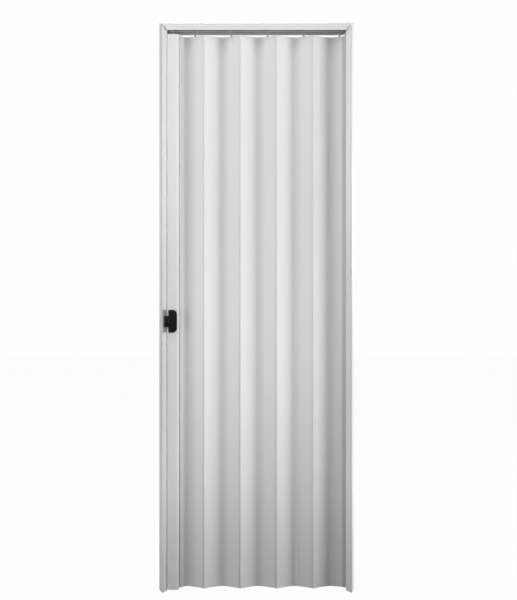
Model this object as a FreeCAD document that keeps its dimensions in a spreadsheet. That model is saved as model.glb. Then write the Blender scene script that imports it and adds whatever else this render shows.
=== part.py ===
import FreeCAD, Part
import math
import os
import Sketcher

# Accordion door: a pleated curtain of hollow plastic leaves that hangs from a
# track in a slim frame. Millimetres. Z is up, X runs along the wall opening,
# Y runs through it, and -Y is the side that the handle in the picture is on.
# The origin is on the left wall face, at floor level, in the middle of the frame.

Vector = FreeCAD.Vector
doc = FreeCAD.newDocument("AccordionDoor")

# Driving dimensions
SIZES = {
    # how far a cutting shape runs past what it cuts
    "cut_spare": 1,
    # whole frame
    "overall_width": 720,
    "overall_height": 2100,
    "frame_half_depth": 28,
    "web_half_depth": 8,
    "crest_inset": 11.5,
    "frame_wall": 1.5,
    "crest_wall": 3,
    "mouth_wall": 4.5,
    "web_corner_shift": 0.375,
    "lip_corner_shift": 0.75,
    "crest_flat": 2,
    "crest_round": 1.5,
    # side jambs
    "jamb_reach": 29.5,
    "jamb_mouth": 11,
    "jamb_mouth_floor": 12.5,
    "mitre_gap": 0.1,
    "screw_radius": 2.1,
    "screwdriver_radius": 5,
    "wall_screw_inset": 250,
    # head channel
    "head_height": 31,
    "head_lip_half_depth": 22,
    "lintel_screw_inset": 110,
    # track inside the head
    "track_half_depth": 15,
    "track_height": 17,
    "track_wall": 1.6,
    "track_slot_half": 5.6,
    "track_pad_half": 6.5,
    "track_pad_height": 4.4,
    "track_end_clear": 36,
    # pleats
    "pleats": 4,
    "first_leaf_run": 21.5,
    "hinge_offset": 9.8,
    "bow_depth": 2,
    "first_bow_depth": 0.5,
    "leaf_thickness": 6,
    "leaf_skin": 1,
    "leaf_web": 0.9,
    "panel_bottom": 8,
    "panel_drop": 46,
    # hinge along each ridge
    "bead_radius": 4,
    "bead_bore": 2.9,
    "bulb_radius": 2.5,
    "neck_thickness": 1.7,
    "neck_length": 4.4,
    "bead_lip_angle": 172,
    "bead_mouth_angle": 122,
    # soft hinge along each valley
    "valley_half_width": 8,
    "tongue_length": 5,
    "socket_depth": 6,
    "snug": 0.2,
    # lock post
    "post_left": 29.8,
    "post_width": 43.2,
    "post_half_depth": 18,
    "post_wall": 1.4,
    "post_round": 9,
    "post_bevel_width": 9.2,
    "post_bevel_depth": 3.5,
    "post_tongue_half": 9.5,
    "post_tongue_left": 15,
    "post_bottom": 7.4,
    "post_hinge_reach": 4.5,
    "post_hinge_y": -2,
    "cap_thickness": 2,
    "cap_plug": 6,
    # fixed end in the right jamb
    "clip_wall": 1.2,
    "clip_grip": 9,
    "clip_middle": -5.8,
    "clip_snug": 0.4,
    "clip_room": 3.6,
    # hangers
    "hanger_stem": 2,
    "hanger_pin": 1.6,
    "hanger_pin_depth": 16,
    "hanger_collar": 4.2,
    "hanger_collar_height": 3.2,
    "hanger_shoe_length": 24,
    "hanger_shoe_half": 11,
    "hanger_shoe_height": 6,
    # latch
    "handle_left": 34,
    "handle_right": 66,
    "handle_below_bolt": 41,
    "handle_above_bolt": 42,
    "handle_proud": 15,
    "handle_round": 17,
    "handle_edge": 2,
    "latch_height": 996,
    "bolt_half_height": 5,
    "bolt_thickness": 4,
    "bolt_left": 23,
    "bolt_right": 44,
    "bolt_front": 5,
    "keeper_left": 19.5,
    "keeper_right": 33.4,
    "keeper_below_bolt": 21,
    "keeper_above_bolt": 20,
    "keeper_front": 31,
    "spindle_radius": 4,
    "spindle_x": 50,
    "seat": 0.3,
}

sheet = doc.addObject("Spreadsheet::Sheet", "Sizes")
for row, (name, value) in enumerate(SIZES.items(), start=1):
    sheet.set(f"A{row}", name)
    sheet.set(f"B{row}", str(value))
    sheet.setAlias(f"B{row}", name)
doc.recompute()


def size(name):
    """The text that names a driving dimension in an expression."""
    return f"Sizes.{name}"


def number(text):
    """The value of an expression in the driving dimensions."""
    value = sheet.evalExpression(text)
    return float(getattr(value, "Value", value))


def point(x, y):
    return Vector(number(x), number(y), 0)


# Sketch and body helpers
PIECES = []
CUT_LEAST = 0.1
NEAR = 0.01
SEED_TURN = 10


def new_body(label):
    body = doc.addObject("PartDesign::Body", label)
    body.Label = label
    PIECES.append(body)
    return body


def new_sketch(body, name, plane):
    """A sketch on one of the body's own origin planes."""
    support = [item for item in body.Origin.OriginFeatures if item.Role == plane][0]
    sketch = body.newObject("Sketcher::SketchObject", f"{body.Label}_{name}")
    sketch.AttachmentSupport = [(support, "")]
    sketch.MapMode = "FlatFace"
    return sketch


def draw_loop(sketch, corners):
    """Draw a closed loop. A corner is (x, y), followed by a straight edge, or has a third
    item for an arc: (radius, turn), or (centre_x, centre_y, radius, turn) where the arc
    may be more than half a circle. A turn of 1 runs anticlockwise and -1 clockwise."""
    places = [point(corner[0], corner[1]) for corner in corners]
    count = len(corners)
    edges = []
    for index, corner in enumerate(corners):
        begin = places[index]
        end = places[(index + 1) % count]
        if len(corner) == 2:
            shape = Part.LineSegment(begin, end)
            edges.append((sketch.addGeometry(shape, False), 1, 2, None))
            continue
        *middle_of_arc, radius, turn = corner[2]
        if middle_of_arc:
            centre = point(*middle_of_arc)
        else:
            half = (end - begin) / 2
            reach = math.sqrt(number(radius) ** 2 - half.Length ** 2)
            centre = begin + half + Vector(-half.y, half.x, 0).normalize() * reach * turn
        first, last = (begin, end) if turn > 0 else (end, begin)
        start_angle = math.atan2(first.y - centre.y, first.x - centre.x)
        end_angle = math.atan2(last.y - centre.y, last.x - centre.x)
        if end_angle <= start_angle:
            end_angle += 2 * math.pi
        circle = Part.Circle(centre, Vector(0, 0, 1), number(radius))
        shape = Part.ArcOfCircle(circle, start_angle, end_angle)
        ends = (1, 2) if turn > 0 else (2, 1)
        edges.append((sketch.addGeometry(shape, False), *ends, radius))
    joins = []
    for index, (edge, _, end, _) in enumerate(edges):
        following = edges[(index + 1) % count]
        joins.append(Sketcher.Constraint("Coincident", edge, end, following[0], following[1]))
    sketch.addConstraint(joins)
    bound = []
    for (edge, start, _, radius), corner, place in zip(edges, corners, places):
        bound.append((Sketcher.Constraint("DistanceX", -1, 1, edge, start, place.x), corner[0]))
        bound.append((Sketcher.Constraint("DistanceY", -1, 1, edge, start, place.y), corner[1]))
        if radius:
            bound.append((Sketcher.Constraint("Radius", edge, number(radius)), radius))
    numbers = sketch.addConstraint([item[0] for item in bound])
    for constraint, (_, text) in zip(numbers, bound):
        sketch.setExpression(f"Constraints[{constraint}]", text)


def draw_rectangle(sketch, left, low, right, high):
    draw_loop(sketch, [(left, low), (right, low), (right, high), (left, high)])


def draw_circle(sketch, x, y, radius):
    centre = point(x, y)
    circle = sketch.addGeometry(Part.Circle(centre, Vector(0, 0, 1), number(radius)), False)
    texts = (x, y, radius)
    rules = [
        Sketcher.Constraint("DistanceX", -1, 1, circle, 3, centre.x),
        Sketcher.Constraint("DistanceY", -1, 1, circle, 3, centre.y),
        Sketcher.Constraint("Radius", circle, number(radius)),
    ]
    for constraint, text in zip(sketch.addConstraint(rules), texts):
        sketch.setExpression(f"Constraints[{constraint}]", text)


def pad(body, sketch, length):
    feature = body.newObject("PartDesign::Pad", f"{sketch.Name}_pad")
    feature.Profile = sketch
    feature.setExpression("Length", length)
    sketch.Visibility = False
    return feature


def cut(body, sketch, start=None, length=None):
    """Cut a sketch's shape out of the body. From start, a height above the sketch's plane,
    it cuts upwards by length, or all the way. Without start it cuts both ways."""
    if start:
        sketch.setExpression("AttachmentOffset.Base.z", start)
    doc.recompute()
    before = body.Shape.Volume
    feature = body.newObject("PartDesign::Pocket", f"{sketch.Name}_cut")
    feature.Profile = sketch
    feature.Reversed = bool(start)
    feature.Midplane = not start
    if length:
        feature.setExpression("Length", length)
    else:
        feature.Type = "ThroughAll"
    doc.recompute()
    assert body.Shape.Volume < before - CUT_LEAST, f"{sketch.Name} cuts nothing"


def place(body, x="0", y="0", z="0", turn=None):
    """Bind the body's position, and its turn about Z, to expressions. A placement keeps its
    axis only with some turn on it, so it gets one before the expression."""
    if turn:
        seed = FreeCAD.Rotation(Vector(0, 0, 1), SEED_TURN)
        body.Placement = FreeCAD.Placement(Vector(), seed)
        body.setExpression("Placement.Rotation.Angle", turn)
    body.setExpression("Placement.Base.x", x)
    body.setExpression("Placement.Base.y", y)
    body.setExpression("Placement.Base.z", z)


# Frame: a hollow moulded profile whose flanks fall back from a front and a back crest
HALF = size("frame_half_depth")
WEB = size("web_half_depth")
CREST = size("crest_inset")
WALL = size("frame_wall")
FLAT = size("crest_flat")
CREST_ROUND = size("crest_round")
PEAK = f"({HALF} - {CREST_ROUND} + sqrt({CREST_ROUND} ^ 2 - {FLAT} ^ 2 / 4))"
REACH = size("jamb_reach")
MOUTH = size("jamb_mouth")
FLOOR = size("jamb_mouth_floor")
HIGH = size("overall_height")
WIDE = size("overall_width")
SCREW = size("screw_radius")
DRIVER = size("screwdriver_radius")
SPARE = size("cut_spare")


def jamb(label):
    """A side jamb: wall web, bevelled nose front and back, and an open mouth."""
    body = new_body(label)
    sketch = new_sketch(body, "section", "XY_Plane")
    lip = f"({MOUTH} + {WALL})"
    draw_loop(sketch, [
        ("0", f"-{WEB}"),
        (CREST, f"-{PEAK}", (CREST_ROUND, 1)),
        (f"{CREST} + {FLAT}", f"-{PEAK}"),
        (REACH, f"-{lip}"),
        (REACH, f"-{MOUTH}"),
        (FLOOR, f"-{MOUTH}"),
        (FLOOR, MOUTH),
        (REACH, MOUTH),
        (REACH, lip),
        (f"{CREST} + {FLAT}", PEAK, (CREST_ROUND, 1)),
        (CREST, PEAK),
        ("0", WEB),
    ])
    nose = f"({HALF} - {size('crest_wall')})"
    fold = f"({REACH} - {size('mouth_wall')})"
    web_shift = size("web_corner_shift")
    lip_shift = size("lip_corner_shift")
    draw_loop(sketch, [
        (WALL, f"-{WEB} + {web_shift}"),
        (f"{CREST} + {FLAT} / 2", f"-{nose}"),
        (fold, f"-{lip} - {lip_shift}"),
        (fold, f"-{lip}"),
        (f"{FLOOR} - {WALL}", f"-{lip}"),
        (f"{FLOOR} - {WALL}", lip),
        (fold, lip),
        (fold, f"{lip} + {lip_shift}"),
        (f"{CREST} + {FLAT} / 2", nose),
        (WALL, f"{WEB} - {web_shift}"),
    ])
    pad(body, sketch, HIGH)
    mitre = new_sketch(body, "mitre", "XZ_Plane")
    gap = size("mitre_gap")
    draw_loop(mitre, [
        (f"-{SPARE}", f"{HIGH} + {SPARE} - {gap}"),
        (f"{REACH} + {SPARE}", f"{HIGH} - {REACH} - {SPARE} - {gap}"),
        (f"{REACH} + {SPARE}", f"{HIGH} + {SPARE}"),
    ])
    cut(body, mitre)
    inset = size("wall_screw_inset")
    for name, radius, start in (("screw", SCREW, None), ("screwdriver", DRIVER, f"{WALL} + {SPARE}")):
        holes = new_sketch(body, f"{name}_holes", "YZ_Plane")
        draw_circle(holes, "0", inset, radius)
        draw_circle(holes, "0", f"{HIGH} - {inset}", radius)
        cut(body, holes, start)
    return body


jamb("left_jamb")
place(jamb("right_jamb"), x=WIDE, turn="180")

HEAD_LOW = f"({HIGH} - {size('head_height')})"
LIP = size("head_lip_half_depth")


def head():
    """The head channel: the same crest as the jambs, open below."""
    body = new_body("head_channel")
    sketch = new_sketch(body, "section", "YZ_Plane")
    under = f"({HIGH} - {WALL})"
    shoulder = f"({HIGH} - {CREST} - {WALL} / 2)"
    draw_loop(sketch, [
        (f"-{WEB}", HIGH),
        (f"-{PEAK}", f"{HIGH} - {CREST}", (CREST_ROUND, 1)),
        (f"-{PEAK}", f"{HIGH} - {CREST} - {FLAT}"),
        (f"-{LIP}", HEAD_LOW),
        (f"-{LIP} + {WALL}", HEAD_LOW),
        (f"-{HALF} + {WALL}", f"{shoulder} - {FLAT}"),
        (f"-{HALF} + {WALL}", shoulder),
        (f"-{WEB}", under),
        (WEB, under),
        (f"{HALF} - {WALL}", shoulder),
        (f"{HALF} - {WALL}", f"{shoulder} - {FLAT}"),
        (f"{LIP} - {WALL}", HEAD_LOW),
        (LIP, HEAD_LOW),
        (PEAK, f"{HIGH} - {CREST} - {FLAT}", (CREST_ROUND, 1)),
        (PEAK, f"{HIGH} - {CREST}"),
        (WEB, HIGH),
    ])
    pad(body, sketch, WIDE)
    low = f"{HEAD_LOW} - {SPARE}"
    drop = f"({size('head_height')} + {SPARE})"
    left = new_sketch(body, "left_mitre", "XZ_Plane")
    draw_loop(left, [(f"-{SPARE}", f"{HIGH} + {SPARE}"), (f"-{SPARE}", low), (drop, low)])
    cut(body, left)
    right = new_sketch(body, "right_mitre", "XZ_Plane")
    draw_loop(right, [
        (f"{WIDE} + {SPARE}", f"{HIGH} + {SPARE}"),
        (f"{WIDE} + {SPARE}", low),
        (f"{WIDE} - {drop}", low),
    ])
    cut(body, right)
    lintel_screws(body)


def lintel_screws(body, shift="0"):
    """The two screw holes under the lintel, in a body that starts at shift along the head."""
    holes = new_sketch(body, "screw_holes", "XY_Plane")
    inset = size("lintel_screw_inset")
    draw_circle(holes, f"{inset} - {shift}", "0", SCREW)
    draw_circle(holes, f"{WIDE} - {inset} - {shift}", "0", SCREW)
    cut(body, holes)


head()

TRACK_TOP = f"({HIGH} - {WALL} - {size('track_pad_height')})"
TRACK_LOW = f"({TRACK_TOP} - {size('track_height')})"
TRACK_HALF = size("track_half_depth")
TRACK_WALL = size("track_wall")
SLOT = size("track_slot_half")
TRACK_END = size("track_end_clear")


def track():
    """The track: a C-shaped rail under the head's web, slotted below."""
    body = new_body("track_rail")
    sketch = new_sketch(body, "section", "YZ_Plane")
    pad_half = size("track_pad_half")
    inner = f"({TRACK_HALF} - {TRACK_WALL})"
    draw_loop(sketch, [
        (f"-{pad_half}", f"{HIGH} - {WALL}"),
        (f"-{pad_half}", TRACK_TOP),
        (f"-{TRACK_HALF}", TRACK_TOP),
        (f"-{TRACK_HALF}", TRACK_LOW),
        (f"-{SLOT}", TRACK_LOW),
        (f"-{SLOT}", f"{TRACK_LOW} + {TRACK_WALL}"),
        (f"-{inner}", f"{TRACK_LOW} + {TRACK_WALL}"),
        (f"-{inner}", f"{TRACK_TOP} - {TRACK_WALL}"),
        (inner, f"{TRACK_TOP} - {TRACK_WALL}"),
        (inner, f"{TRACK_LOW} + {TRACK_WALL}"),
        (SLOT, f"{TRACK_LOW} + {TRACK_WALL}"),
        (SLOT, TRACK_LOW),
        (TRACK_HALF, TRACK_LOW),
        (TRACK_HALF, TRACK_TOP),
        (pad_half, TRACK_TOP),
        (pad_half, f"{HIGH} - {WALL}"),
    ])
    pad(body, sketch, f"{WIDE} - 2 * {TRACK_END}")
    lintel_screws(body, TRACK_END)
    place(body, x=TRACK_END)


track()

# Leaves: hollow extrusions, bowed back between their hinges. In a leaf's own frame
# X runs along the chord from its left hinge to its right one, and +Y is to the back.
THICK = size("leaf_thickness")
SKIN = size("leaf_skin")
RIB = size("leaf_web")
OFFSET = size("hinge_offset")
CLIP_WALL = size("clip_wall")
CLIP_GRIP = size("clip_grip")
CLIP_Y = size("clip_middle")
SEAT = size("seat")
pleats = SIZES["pleats"]
CELLS = 3
FIRST_CELLS = 1
POST_RIGHT = f"({size('post_left')} + {size('post_width')})"
POST_HINGE_X = f"({POST_RIGHT} + {size('post_hinge_reach')})"
POST_HINGE_Y = size("post_hinge_y")
FIRST_RUN = size("first_leaf_run")
FIRST_VALLEY = f"({POST_HINGE_X} + {FIRST_RUN})"
LEAF_END = f"({WIDE} - {FLOOR} - {size('clip_room')} - {SEAT})"
PITCH = f"(({LEAF_END} - {FIRST_VALLEY}) / {2 * pleats + 1})"
FIRST = f"({FIRST_VALLEY} + {PITCH})"
BEAD = size("bead_radius")
BORE = size("bead_bore")
BULB = size("bulb_radius")
NECK = size("neck_thickness")
STOP = size("neck_length")
EDGE = size("valley_half_width")
SNUG = size("snug")
CHORD = f"sqrt({PITCH} ^ 2 + 4 * {OFFSET} ^ 2)"
BOW = size("bow_depth")
PANEL_LOW = size("panel_bottom")
PANEL_HIGH = f"({HIGH} - {size('panel_drop')})"


def middle(chord, bow, along):
    """How far the leaf's middle surface lies behind its chord."""
    return f"(4 * {bow} * ({along}) * ({chord} - ({along})) / ({chord}) ^ 2)"


def bow_arc(chord, bow, shift, turn):
    """The arc of a bowed face that lies shift behind the middle surface."""
    return (f"({chord} ^ 2 / (8 * {bow}) + {bow} / 2 + ({shift}))", turn)


def bead_end():
    """The C-shaped bead that grips a bulb, from the front face round to the back one."""
    flat = f"sqrt({BEAD} ^ 2 - {THICK} ^ 2 / 4)"
    lip = size("bead_lip_angle")
    mouth = size("bead_mouth_angle")
    return [
        (flat, f"-{THICK} / 2", ("0", "0", BEAD, -1)),
        (f"{BEAD} * cos({lip})", f"{BEAD} * sin({lip})"),
        (f"{BORE} * cos({lip})", f"{BORE} * sin({lip})", ("0", "0", BORE, 1)),
        (f"{BORE} * cos({mouth})", f"{BORE} * sin({mouth})"),
        (f"{BEAD} * cos({mouth})", f"{BEAD} * sin({mouth})", ("0", "0", BEAD, -1)),
        (flat, f"{THICK} / 2"),
    ]


def bulb_end(chord, bow):
    """The bulb on its neck, in a hollow end that follows the other leaf's bead. From the
    front face to the back one."""
    root = f"sqrt({BULB} ^ 2 - {NECK} ^ 2 / 4)"
    stop = f"sqrt({STOP} ^ 2 - {NECK} ^ 2 / 4)"
    rise = middle(chord, bow, f"sqrt({STOP} ^ 2 - {THICK} ^ 2 / 4)")
    front = f"({rise} - {THICK} / 2)"
    back = f"({rise} + {THICK} / 2)"
    hollow = ("0", "0", STOP, 1)
    return [
        (f"sqrt({STOP} ^ 2 - {front} ^ 2)", front, hollow),
        (stop, f"-{NECK} / 2"),
        (root, f"-{NECK} / 2", ("0", "0", BULB, -1)),
        (root, f"{NECK} / 2"),
        (stop, f"{NECK} / 2", hollow),
        (f"sqrt({STOP} ^ 2 - {back} ^ 2)", back),
    ]


def fork_end(chord, bow):
    """The open end that takes the tongue of a soft hinge."""
    depth = size("socket_depth")
    rise = middle(chord, bow, EDGE)
    deep = middle(chord, bow, f"{EDGE} + {depth}")
    inner = f"({THICK} / 2 - {SKIN})"
    return [
        (EDGE, f"{rise} - {THICK} / 2"),
        (EDGE, f"{rise} - {inner}"),
        (f"{EDGE} + {depth}", f"{deep} - {inner}"),
        (f"{EDGE} + {depth}", f"{deep} + {inner}"),
        (EDGE, f"{rise} + {inner}"),
        (EDGE, f"{rise} + {THICK} / 2"),
    ]


def plain_end(chord, bow):
    """A square cut end."""
    return [("0", f"-{THICK} / 2"), ("0", f"{THICK} / 2")]


def mirrored(corners, chord):
    """The same end seen from the other hinge: X is measured back from there."""
    result = []
    for corner in corners:
        x = f"{chord} - ({corner[0]})"
        if len(corner) == 2:
            result.append((x, corner[1]))
        else:
            centre_x, centre_y, radius, turn = corner[2]
            result.append((x, corner[1], (f"{chord} - ({centre_x})", centre_y, radius, -turn)))
    return result


def backwards(corners):
    """The same run of edges, drawn the other way."""
    result = []
    for index in range(len(corners) - 1, -1, -1):
        arc = corners[index - 1][2] if index > 0 and len(corners[index - 1]) == 3 else None
        if arc:
            arc = (arc[0], arc[1], arc[2], -arc[3])
            result.append((corners[index][0], corners[index][1], arc))
        else:
            result.append((corners[index][0], corners[index][1]))
    return result


def leaf(label, chord, bow, left_end, right_end, left_room, right_room, cells):
    """A hollow leaf between two hinge lines, with its chambers."""
    body = new_body(label)
    sketch = new_sketch(body, "section", "XY_Plane")
    start = backwards(left_end)
    finish = mirrored(right_end, chord)
    front = bow_arc(chord, bow, f"-{THICK} / 2", -1)
    back = bow_arc(chord, bow, f"{THICK} / 2", 1)
    last = (start[-1][0], start[-1][1], front)
    first = (finish[-1][0], finish[-1][1], back)
    draw_loop(sketch, start[:-1] + [last] + finish[:-1] + [first])
    inner = f"({THICK} / 2 - {SKIN})"
    span = f"({chord} - ({left_room}) - ({right_room}))"
    step = f"(({span} + {RIB}) / {cells})"
    for cell in range(cells):
        begin = f"({left_room} + {cell} * {step})"
        end = f"({begin} + {step} - {RIB})"
        rise = middle(chord, bow, begin)
        fall = middle(chord, bow, end)
        front = bow_arc(chord, bow, f"-{inner}", -1)
        back = bow_arc(chord, bow, inner, 1)
        draw_loop(sketch, [
            (begin, f"{rise} - {inner}", front),
            (end, f"{fall} - {inner}"),
            (end, f"{fall} + {inner}", back),
            (begin, f"{rise} + {inner}"),
        ])
    pad(body, sketch, f"{PANEL_HIGH} - {PANEL_LOW}")
    return body


FORK_ROOM = f"{EDGE} + {size('socket_depth')} + {RIB}"
BEAD_ROOM = f"{BEAD} + {RIB}"
BULB_ROOM = f"{STOP} + {RIB}"
SLOPE = f"atan(2 * {OFFSET} / {PITCH})"
FIRST_RISE = f"({OFFSET} - {POST_HINGE_Y})"
FIRST_CHORD = f"sqrt({FIRST_RUN} ^ 2 + {FIRST_RISE} ^ 2)"
FIRST_BOW = size("first_bow_depth")

first_leaf = leaf("leaf_01", FIRST_CHORD, FIRST_BOW, bead_end(),
                  fork_end(FIRST_CHORD, FIRST_BOW), BEAD_ROOM, FORK_ROOM, FIRST_CELLS)
place(first_leaf, x=POST_HINGE_X, y=POST_HINGE_Y, z=PANEL_LOW,
      turn=f"atan({FIRST_RISE} / {FIRST_RUN})")
for pleat in range(pleats):
    ridge = f"({FIRST} + {2 * pleat} * {PITCH})"
    rising = leaf(f"leaf_{2 * pleat + 2:02d}", CHORD, BOW, fork_end(CHORD, BOW),
                  bulb_end(CHORD, BOW), FORK_ROOM, BULB_ROOM, CELLS)
    place(rising, x=f"{ridge} - {PITCH}", y=OFFSET, z=PANEL_LOW, turn=f"-{SLOPE}")
    falling = leaf(f"leaf_{2 * pleat + 3:02d}", CHORD, BOW, bead_end(),
                   fork_end(CHORD, BOW), BEAD_ROOM, FORK_ROOM, CELLS)
    place(falling, x=ridge, y=f"-{OFFSET}", z=PANEL_LOW, turn=SLOPE)

# The last leaf runs into the mouth of the right jamb, where a clip grips its edge
LAST_VALLEY = f"({FIRST} + {2 * pleats - 1} * {PITCH})"
LAST_RUN = PITCH
LAST_FALL = f"({OFFSET} - ({CLIP_Y}))"
LAST_CHORD = f"sqrt({LAST_RUN} ^ 2 + {LAST_FALL} ^ 2)"
last_leaf = leaf(f"leaf_{2 * pleats + 2:02d}", LAST_CHORD, BOW, fork_end(LAST_CHORD, BOW),
                 plain_end(LAST_CHORD, BOW), FORK_ROOM, RIB, CELLS)
place(last_leaf, x=LAST_VALLEY, y=OFFSET, z=PANEL_LOW, turn=f"-atan({LAST_FALL} / {LAST_RUN})")

# Soft hinges along the valleys: a band flush with the front faces, with a tongue each side
REGULAR = (PITCH, f"(2 * {OFFSET})", CHORD, BOW)
STEEP = (FIRST_RUN, FIRST_RISE, FIRST_CHORD, FIRST_BOW)
SHALLOW = (LAST_RUN, LAST_FALL, LAST_CHORD, BOW)
TONGUE = size("tongue_length")


def wing(side, run, rise, chord, bow):
    """Where a band meets the leaf on one side, from the front face to the back one."""
    half = f"({THICK} / 2 - {SKIN} - {SNUG})"
    near = middle(chord, bow, EDGE)
    far = middle(chord, bow, f"{EDGE} + {TONGUE}")
    steps = [
        (EDGE, f"{near} - {THICK} / 2"),
        (EDGE, f"{near} - {half}"),
        (f"{EDGE} + {TONGUE}", f"{far} - {half}"),
        (f"{EDGE} + {TONGUE}", f"{far} + {half}"),
        (EDGE, f"{near} + {half}"),
    ]
    return [
        (f"{side} * (({along}) * {run} + ({across}) * {rise}) / {chord}",
         f"(({across}) * {run} - ({along}) * {rise}) / {chord}")
        for along, across in steps
    ]


def lean(run, rise, chord, bow):
    """The slope of a leaf where it meets the band."""
    return f"(atan({rise} / {run}) - atan(4 * {bow} / {chord}))"


def valley_hinge(label, x, left, right):
    """The band between two leaves, each given by its run, rise, chord and bow."""
    body = new_body(label)
    sketch = new_sketch(body, "section", "XY_Plane")
    bend = f"({EDGE} / tan(({lean(*left)} + {lean(*right)}) / 2))"
    right_wing = wing(1, *right)
    left_wing = wing(-1, *left)[::-1]
    right_wing[-1] += ((f"({bend} + {THICK})", 1),)
    left_wing[-1] += ((bend, -1),)
    draw_loop(sketch, right_wing + left_wing)
    pad(body, sketch, f"{PANEL_HIGH} - {PANEL_LOW}")
    place(body, x=x, y=OFFSET, z=PANEL_LOW)


for pleat in range(pleats + 1):
    valley_hinge(f"valley_hinge_{pleat + 1}", f"({FIRST} + {2 * pleat - 1} * {PITCH})",
                 STEEP if pleat == 0 else REGULAR, SHALLOW if pleat == pleats else REGULAR)

# Lock post: a hollow box with a tongue that closes into the left jamb's mouth
POST_LEFT = size("post_left")
POST_HALF = size("post_half_depth")
POST_WALL = size("post_wall")
POST_ROUND = size("post_round")
POST_LOW = size("post_bottom")
SPINDLE_X = size("spindle_x")
SPINDLE = size("spindle_radius")
BOLT_Z = size("latch_height")
BEVEL_WIDE = size("post_bevel_width")
BEVEL_DEEP = size("post_bevel_depth")


def post():
    """The post at the leading edge, with a bulb for the first leaf."""
    body = new_body("lock_post")
    sketch = new_sketch(body, "section", "XY_Plane")
    tongue = size("post_tongue_half")
    tip = size("post_tongue_left")
    root = f"sqrt({BULB} ^ 2 - {NECK} ^ 2 / 4)"
    draw_loop(sketch, [
        (POST_LEFT, f"-{POST_HALF} + {BEVEL_DEEP}"),
        (f"{POST_LEFT} + {BEVEL_WIDE}", f"-{POST_HALF}"),
        (f"{POST_RIGHT} - {POST_ROUND}", f"-{POST_HALF}", (POST_ROUND, 1)),
        (POST_RIGHT, f"-{POST_HALF} + {POST_ROUND}"),
        (POST_RIGHT, f"{POST_HINGE_Y} - {NECK} / 2"),
        (f"{POST_HINGE_X} - {root}", f"{POST_HINGE_Y} - {NECK} / 2",
         (POST_HINGE_X, POST_HINGE_Y, BULB, 1)),
        (f"{POST_HINGE_X} - {root}", f"{POST_HINGE_Y} + {NECK} / 2"),
        (POST_RIGHT, f"{POST_HINGE_Y} + {NECK} / 2"),
        (POST_RIGHT, f"{POST_HALF} - {POST_ROUND}", (POST_ROUND, 1)),
        (f"{POST_RIGHT} - {POST_ROUND}", POST_HALF),
        (f"{POST_LEFT} + {BEVEL_WIDE}", POST_HALF),
        (POST_LEFT, f"{POST_HALF} - {BEVEL_DEEP}"),
        (POST_LEFT, tongue),
        (tip, tongue),
        (tip, f"-{tongue}"),
        (POST_LEFT, f"-{tongue}"),
    ])
    inside = f"({POST_HALF} - {POST_WALL})"
    rounding = (f"({POST_ROUND} - {POST_WALL})", 1)
    draw_loop(sketch, [
        (f"{POST_LEFT} + {POST_WALL}", f"-{inside} + {BEVEL_DEEP}"),
        (f"{POST_LEFT} + {BEVEL_WIDE} + {POST_WALL}", f"-{inside}"),
        (f"{POST_RIGHT} - {POST_ROUND}", f"-{inside}", rounding),
        (f"{POST_RIGHT} - {POST_WALL}", f"-{POST_HALF} + {POST_ROUND}"),
        (f"{POST_RIGHT} - {POST_WALL}", f"{POST_HALF} - {POST_ROUND}", rounding),
        (f"{POST_RIGHT} - {POST_ROUND}", inside),
        (f"{POST_LEFT} + {BEVEL_WIDE} + {POST_WALL}", inside),
        (f"{POST_LEFT} + {POST_WALL}", f"{inside} - {BEVEL_DEEP}"),
    ])
    draw_rectangle(sketch, f"{tip} + {POST_WALL}", f"-{tongue} + {POST_WALL}",
                   POST_LEFT, f"{tongue} - {POST_WALL}")
    pad(body, sketch, f"{PANEL_HIGH} - {POST_LOW}")
    place(body, z=POST_LOW)
    hole = new_sketch(body, "spindle_hole", "XZ_Plane")
    draw_circle(hole, SPINDLE_X, f"{BOLT_Z} - {POST_LOW}", f"{SPINDLE} + {SEAT}")
    cut(body, hole)


post()


def post_cap(label, plate_z, plug_length):
    """A cap on one end of the post, with a plug that reaches into the box."""
    body = new_body(label)
    sketch = new_sketch(body, "plate", "XY_Plane")
    draw_loop(sketch, [
        (POST_LEFT, f"-{POST_HALF} + {BEVEL_DEEP}"),
        (f"{POST_LEFT} + {BEVEL_WIDE}", f"-{POST_HALF}"),
        (f"{POST_RIGHT} - {POST_ROUND}", f"-{POST_HALF}", (POST_ROUND, 1)),
        (POST_RIGHT, f"-{POST_HALF} + {POST_ROUND}"),
        (POST_RIGHT, f"{POST_HALF} - {POST_ROUND}", (POST_ROUND, 1)),
        (f"{POST_RIGHT} - {POST_ROUND}", POST_HALF),
        (f"{POST_LEFT} + {BEVEL_WIDE}", POST_HALF),
        (POST_LEFT, f"{POST_HALF} - {BEVEL_DEEP}"),
    ])
    pad(body, sketch, size("cap_thickness"))
    inset = f"({POST_WALL} + {SNUG})"
    outer = new_sketch(body, "plug", "XY_Plane")
    half = f"({POST_HALF} - {inset})"
    rounding = (f"({POST_ROUND} - {inset})", 1)
    draw_loop(outer, [
        (f"{POST_LEFT} + {BEVEL_WIDE} + {inset}", f"-{half}"),
        (f"{POST_RIGHT} - {POST_ROUND}", f"-{half}", rounding),
        (f"{POST_RIGHT} - {inset}", f"-{POST_HALF} + {POST_ROUND}"),
        (f"{POST_RIGHT} - {inset}", f"{POST_HALF} - {POST_ROUND}", rounding),
        (f"{POST_RIGHT} - {POST_ROUND}", half),
        (f"{POST_LEFT} + {BEVEL_WIDE} + {inset}", half),
    ])
    doc.recompute()
    plug = pad(body, outer, plug_length)
    place(body, z=plate_z)
    return plug


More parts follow.
